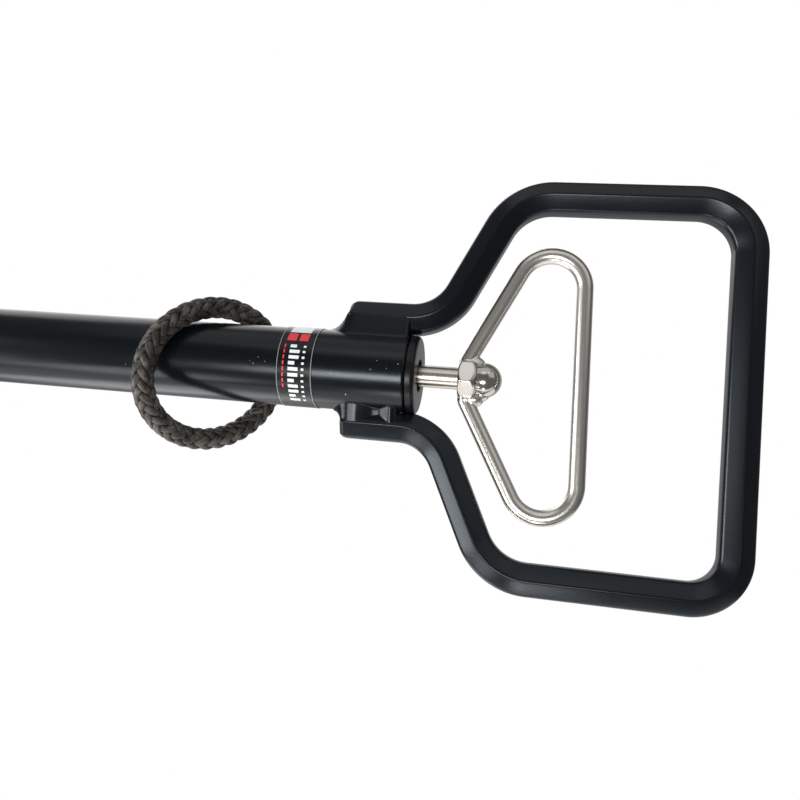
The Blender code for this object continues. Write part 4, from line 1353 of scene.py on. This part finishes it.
@dataclass
class EndPlug:
    """The moulded plug in the tube's rear end, with its wide hole."""

    radius: float = 0.01466
    body_radius: float = 0.0133
    flange: float = 0.0031
    shoulder: float = 0.0019  # of the flange's rounded edge
    shoulder_steps: int = 12
    depth: float = 0.026
    bore: float = 0.0061
    bore_edge: float = 0.0003

    def build(self) -> None:
        """Turns the plug with rounded edges."""
        inner_x = TUBE_REAR_X - self.depth
        flange_x = PLUG_FACE_X - self.flange
        outline = [(inner_x, self.body_radius), (flange_x, self.body_radius)]
        outline.append((flange_x, self.radius))
        for i in range(self.shoulder_steps + 1):
            share = i / self.shoulder_steps
            x = PLUG_FACE_X - self.shoulder * (1 - share) ** 2
            outline.append((x, self.radius - self.shoulder * share**2))
        outline.append((PLUG_FACE_X, self.bore + self.bore_edge))
        outline += [(PLUG_FACE_X - self.bore_edge, self.bore), (inner_x, self.bore)]
        mesh = lathed("plug_moulding", outline)
        add_piece("plug_moulding", mesh, [PLUG_NYLON], Body.FRAME, ("end_plug",))


@dataclass
class LabelBand:
    """The printed band round the tube, in a layout of plain blocks and dashes."""

    start: float = 0.0372  # from the plug's face to the band's near edge
    width: float = 0.0136
    film_radius: float = 0.01519
    film_gap: float = 0.00004  # between the film and the tube
    ink: float = 0.00004
    # plain blocks: far and near edge in mm from the band's far edge, lowest and highest angle in
    # degrees from the side that faces the camera, and the ink's number
    blocks: tuple[tuple[float, ...], ...] = (
        (0.25, 0.47, -180, 179.9, 3),
        (13.1, 13.32, -180, 179.9, 3),
        (2.6, 10.6, 49, 71, 1),
        (2.6, 6.2, 31, 46, 2),
        (7.2, 10.6, 31, 46, 2),
    )
    rows: int = 11
    first_row_deg: float = 22
    row_step_deg: float = 8.2
    # dashes of a row, given as the blocks are, with angles from the row's middle
    long_dash: tuple[float, ...] = (4.6, 8.4, -2.6, 2.2, 1)
    short_dash: tuple[float, ...] = (4.6, 7.0, -2.6, 2.2, 1)  # stands in every third row
    last_dash: tuple[float, ...] = (9.6, 10.6, -2.0, 1.2, 1)
    red_dash: tuple[float, ...] = (2.3, 2.9, -3.0, 2.6, 2)
    red_rows: int = 8

    def patch(
        self, shape: bmesh.types.BMesh, far: float, near: float, low: float, high: float, ink: int
    ) -> None:
        """Adds one printed block that follows the tube.

        Args:
            shape: The band's mesh.
            far: Its far edge in mm from the band's far edge.
            near: Its near edge.
            low: Its lowest angle in degrees from the side that faces the camera.
            high: Its highest angle.
            ink: The material number of its ink.
        """
        base = PLUG_FACE_X - self.start - self.width
        steps = max(2, round((high - low) / 3))
        radius = self.film_radius + self.ink
        rows = []
        for i in range(steps + 1):
            angle = math.radians(low + (high - low) * i / steps)
            y, z = -radius * math.cos(angle), radius * math.sin(angle)
            rows.append([shape.verts.new((base + x * MM, y, z)) for x in (far, near)])
        for row, following in zip(rows, rows[1:]):
            face = shape.faces.new((row[0], row[1], following[1], following[0]))
            face.material_index = ink

    def build(self) -> None:
        """Makes the film and prints its border lines, blocks and dashes."""
        shape = bmesh.new()
        near = PLUG_FACE_X - self.start
        far = near - self.width
        inner = TUBE_RADIUS + self.film_gap
        radii = (self.film_radius, self.film_radius, inner, inner)
        pour(lathed("label_film", list(zip((far, near, near, far), radii))), shape)
        bmesh.ops.recalc_face_normals(shape, faces=shape.faces)
        for block in self.blocks:
            self.patch(shape, *block)
        for i in range(self.rows):
            middle = self.first_row_deg - self.row_step_deg * i
            dashes = [self.long_dash if i % 3 else self.short_dash, self.last_dash]
            if i < self.red_rows:
                dashes.append(self.red_dash)
            for *edges, low, high, ink in dashes:
                self.patch(shape, *edges, middle + low, middle + high, ink)
        mesh = bpy.data.meshes.new("label_band")
        shape.to_mesh(mesh)
        shape.free()
        inks = [FILM, PALE_INK, RED_INK, EDGE_INK]
        node = "label_sleeve"
        add_piece("label_band", mesh, inks, Body.FRAME, (node,), smooth_deg=50)


@dataclass
class Puller:
    """The rod, its dome nut and the trigger that is welded to the nut."""

    rod_front_x: float = -0.8545
    rod_rear: float = 0.0243  # from the plug's face
    rod_chamfer: float = 0.0006
    nut_start: float = 0.0148  # from the plug's face
    hexagon_length: float = 0.0068
    nut_length: float = 0.0157
    flats: float = 0.0135
    turn_deg: float = 12.5
    neck_radius: float = 0.0060  # of the dome where it leaves the hexagon
    dome_radius: float = 0.0064
    front_chamfer: Point = (0.0067, 1.6)  # radius at the front face, and its growth
    rear_chamfer: Point = (0.0061, 1.05)  # the same at the hexagon's rear
    ease: float = 0.00022  # how softly the hexagon's faces and chamfers meet
    bore_gap: float = 0.0001  # between the rod and the nut
    bore_depth: float = 0.009
    bore_tip: float = 0.0002  # radius of the small face that ends the bore
    dome_tip: float = 0.00002  # the same on the dome
    dome_step_deg: int = 6
    nut_sides: int = 180
    # the nut's grid: distances from its front face along the hexagon, and past its rear
    hexagon_rows: tuple[float, ...] = (
        *(0.0, 0.00005, 0.0002, 0.0004, 0.0007, 0.0012, 0.0022, 0.0034, 0.0042, 0.0048),
        *(0.0052, 0.0056, 0.0060, 0.0064, 0.0067),
    )
    neck_rows: tuple[float, ...] = (0.00001, 0.0005, 0.0012)
    wire_radius: float = 0.00295
    wire_start: float = 0.0072  # from the rod's axis to the wire's ends
    bar_x: float = 0.0587
    apex_x: float = 0.0137
    bend: float = 0.01225
    leg_deg: float = 62.05
    trigger_turn_deg: float = 1.6
    trigger_turn_x: float = 0.044
    # weld beads beside each end of the wire: along, outwards and half sizes
    beads: tuple[tuple[float, ...], ...] = (
        (0.0002, -0.0008, 0.0033, 0.0032, 0.0040),
        (0.0032, -0.0008, 0.0036, 0.0032, 0.0030),
        (0.0056, -0.0026, 0.0032, 0.0028, 0.0026),
    )
    # the nut inside a weld: distance from its front face and size for the hexagon's
    core_rows: tuple[Point, ...] = ((0.0004, 0.92), (0.0010, 1.0), (0.0048, 1.0), (0.0066, 0.84))
    core_inset: float = 0.00015
    stub_inset: float = 0.00012  # how far the wire inside a weld is drawn in
    stub_ends: Point = (0.0012, 0.006)  # how far it goes on past the wire's end, and along it
    weld_voxel: float = 0.0003
    weld_rounds: int = 20
    nut_hides: float = 0.0042  # height under which the nut hides a weld's points

    def rod(self) -> bpy.types.Mesh:
        """Turns the rod, with chamfered ends.

        Returns:
            The rod's mesh.
        """
        front, rear = self.rod_front_x, PLUG_FACE_X + self.rod_rear
        chamfer = self.rod_chamfer
        profile = [
            (front, 0.0),
            (front, ROD_RADIUS - chamfer),
            (front + chamfer, ROD_RADIUS),
            (rear - chamfer, ROD_RADIUS),
            (rear, ROD_RADIUS - chamfer),
            (rear, 0.0),
        ]
        return lathed("rod_shaft", profile, 64)

    def nut_radius(self, x: float, angle: float) -> float:
        """The nut's radius at a distance from its front face.

        Args:
            x: The distance.
            angle: Round the axis from +Y towards +Z.

        Returns:
            The radius, with the hexagon's edges eased.
        """
        centre = self.nut_length - self.dome_radius
        if x > centre:
            return math.sqrt(max(0.0, self.dome_radius**2 - (x - centre) ** 2))
        if x > self.hexagon_length:
            share = (x - self.hexagon_length) / (centre - self.hexagon_length)
            return self.neck_radius + (self.dome_radius - self.neck_radius) * share
        sixth = math.pi / 3
        lean = (angle - math.radians(self.turn_deg)) % sixth - sixth / 2
        face = self.flats / 2 / math.cos(lean)
        front = self.front_chamfer[0] + x * self.front_chamfer[1]
        rear = self.rear_chamfer[0] + (self.hexagon_length - x) * self.rear_chamfer[1]
        sizes = np.array([face, front, rear])
        low = sizes.min()
        return float(low - self.ease * math.log(np.exp(-(sizes - low) / self.ease).sum()))

    def nut(self) -> bpy.types.Mesh:
        """Makes the nut: faces, chamfers and dome on one fine grid, with an open front hole.

        Returns:
            The nut's mesh.
        """
        sides = self.nut_sides
        centre = self.nut_length - self.dome_radius
        rows = [*self.hexagon_rows, *(self.hexagon_length + x for x in self.neck_rows), centre]
        rises = range(self.dome_step_deg, 90, self.dome_step_deg)
        rows += [centre + self.dome_radius * math.sin(math.radians(rise)) for rise in rises]
        bore = ROD_RADIUS + self.bore_gap
        hole = [(self.bore_depth, self.bore_tip), (self.bore_depth, bore), (0.0, bore)]
        hole.append((0.0, self.neck_radius))
        rings = [(x, [radius] * sides) for x, radius in hole]
        angles = [2 * math.pi * k / sides for k in range(sides)]
        rings += [(x, [self.nut_radius(x, angle) for angle in angles]) for x in rows]
        rings.append((self.nut_length, [self.dome_tip] * sides))
        start = PLUG_FACE_X + self.nut_start
        loops = []
        for x, radii in rings:
            spots = zip(radii, angles)
            ring = [(start + x, size * math.cos(a), size * math.sin(a)) for size, a in spots]
            loops.append([Vector(point) for point in ring])
        return loft("dome_nut_faces", loops)

    def wire_path(self) -> list[Point]:
        """The trigger's centreline, turned a little out of square as it was welded.

        Returns:
            Its (x, z) points.
        """
        slope = math.tan(math.radians(self.leg_deg))
        bar_x, apex_x = PLUG_FACE_X + self.bar_x, PLUG_FACE_X + self.apex_x
        start_x = apex_x + self.wire_start / slope
        bend_z = slope * (bar_x - apex_x)
        legs = [(start_x, self.wire_start), (bar_x, bend_z)]
        corners = legs + [(x, -z) for x, z in reversed(legs)]
        turn = math.radians(self.trigger_turn_deg)
        middle = PLUG_FACE_X + self.trigger_turn_x
        path = []
        for x, z in filleted(corners, [self.bend, self.bend]):
            out = x - middle
            turned_x = middle + out * math.cos(turn) - z * math.sin(turn)
            path.append((turned_x, out * math.sin(turn) + z * math.cos(turn)))
        return path

    def nut_core(self) -> bpy.types.Mesh:
        """The nut's hexagon, drawn in a little, for the weld to flow on to.

        Returns:
            The mesh.
        """
        reach = self.flats / math.sqrt(3) - self.core_inset
        angles = [math.radians(self.turn_deg + 60 * i) for i in range(6)]
        start = PLUG_FACE_X + self.nut_start
        rings = []
        for x, size in self.core_rows:
            ring = [(reach * size * math.cos(a), reach * size * math.sin(a)) for a in angles]
            rings.append([Vector((start + x, y, z)) for y, z in ring])
        return loft("nut_core", rings)

    def welds(self) -> bpy.types.Mesh:
        """Melts the wire's two ends and their beads into the nut.

        Returns:
            The welds' mesh, without what the nut hides.
        """
        path = [Vector(point) for point in self.wire_path()]
        thin = circle(self.wire_radius - self.stub_inset, 24)
        meshes = [self.nut_core()]
        for end, following in ((path[0], path[1]), (path[-1], path[-2])):
            way = (following - end).normalized()
            back, stop = end - way * self.stub_ends[0], end + way * self.stub_ends[1]
            meshes.append(loft("wire_stub", swept_rings([tuple(back), tuple(stop)], thin)))
            side = math.copysign(1.0, end.y)
            for x, z, *size in self.beads:
                meshes.append(blob("bead", (end.x + x, 0, end.y + side * z), tuple(size)))
        mesh = fused("trigger_welds", meshes, self.weld_voxel, self.weld_rounds)
        return prune(mesh, lambda p: abs(p.z) < self.nut_hides)

    def build(self) -> None:
        """Makes the rod, nut, trigger wire and the welds between them."""
        add_piece("rod_shaft", self.rod(), [ROD_STEEL], Body.PULL, ("pull_rod",))
        node = "dome_nut"
        nut = self.nut()
        add_piece("dome_nut_faces", nut, [NUT_STEEL], Body.PULL, (node,), smooth_deg=40)
        node = "trigger_loop"
        wire = loft("trigger_wire", swept_rings(self.wire_path(), circle(self.wire_radius, 36)))
        add_piece("trigger_wire", wire, [POLISHED], Body.PULL, (node,), smooth_deg=60)
        add_piece("trigger_welds", self.welds(), [POLISHED], Body.PULL, smooth_deg=180)


@dataclass
class ReturnSpring:
    """The coil spring in the tube, which shortens as the trigger is pulled."""

    travel: float = 0.025  # of the collar that pushes on the spring

    def build(self) -> None:
        """Copies the CAD coil, gives it its finish and rides it on the frame."""
        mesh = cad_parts["return_spring"].data.copy()
        mesh.name = "spring_coil"
        mesh.materials.clear()
        node = "return_spring"
        finishes = [SPRING_WIRE]
        piece = add_piece("spring_coil", mesh, finishes, Body.FRAME, (node,), smooth_deg=60)
        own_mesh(piece)


@dataclass
class Solids:
    """The CAD solids that keep their own shape and get a finish."""

    def build(self) -> None:
        """Dresses each of them."""
        named = {node: finish for finish, nodes in NODE_FINISHES.items() for node in nodes}
        for name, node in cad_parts.items():
            finish = named.get(name, HANDLE_COAT)
            node.data.materials.clear()
            node.data.materials.append(finish.material())
            if name in named:
                LOG.info("%s: %s", name, finish.name)


def main() -> None:
    """Builds the studio and dresses every sub-assembly, in order."""
    logging.basicConfig(level=logging.INFO, format="%(message)s")
    soft = (RopeRing(), ReturnSpring())
    shown = (Solids(), MainTube(), Handle(), EndPlug(), LabelBand(), Puller())
    for part in (Studio(), *soft, *shown):
        LOG.info("building %s", type(part).__name__)
        part.build()


if __name__ == "__main__":
    main()
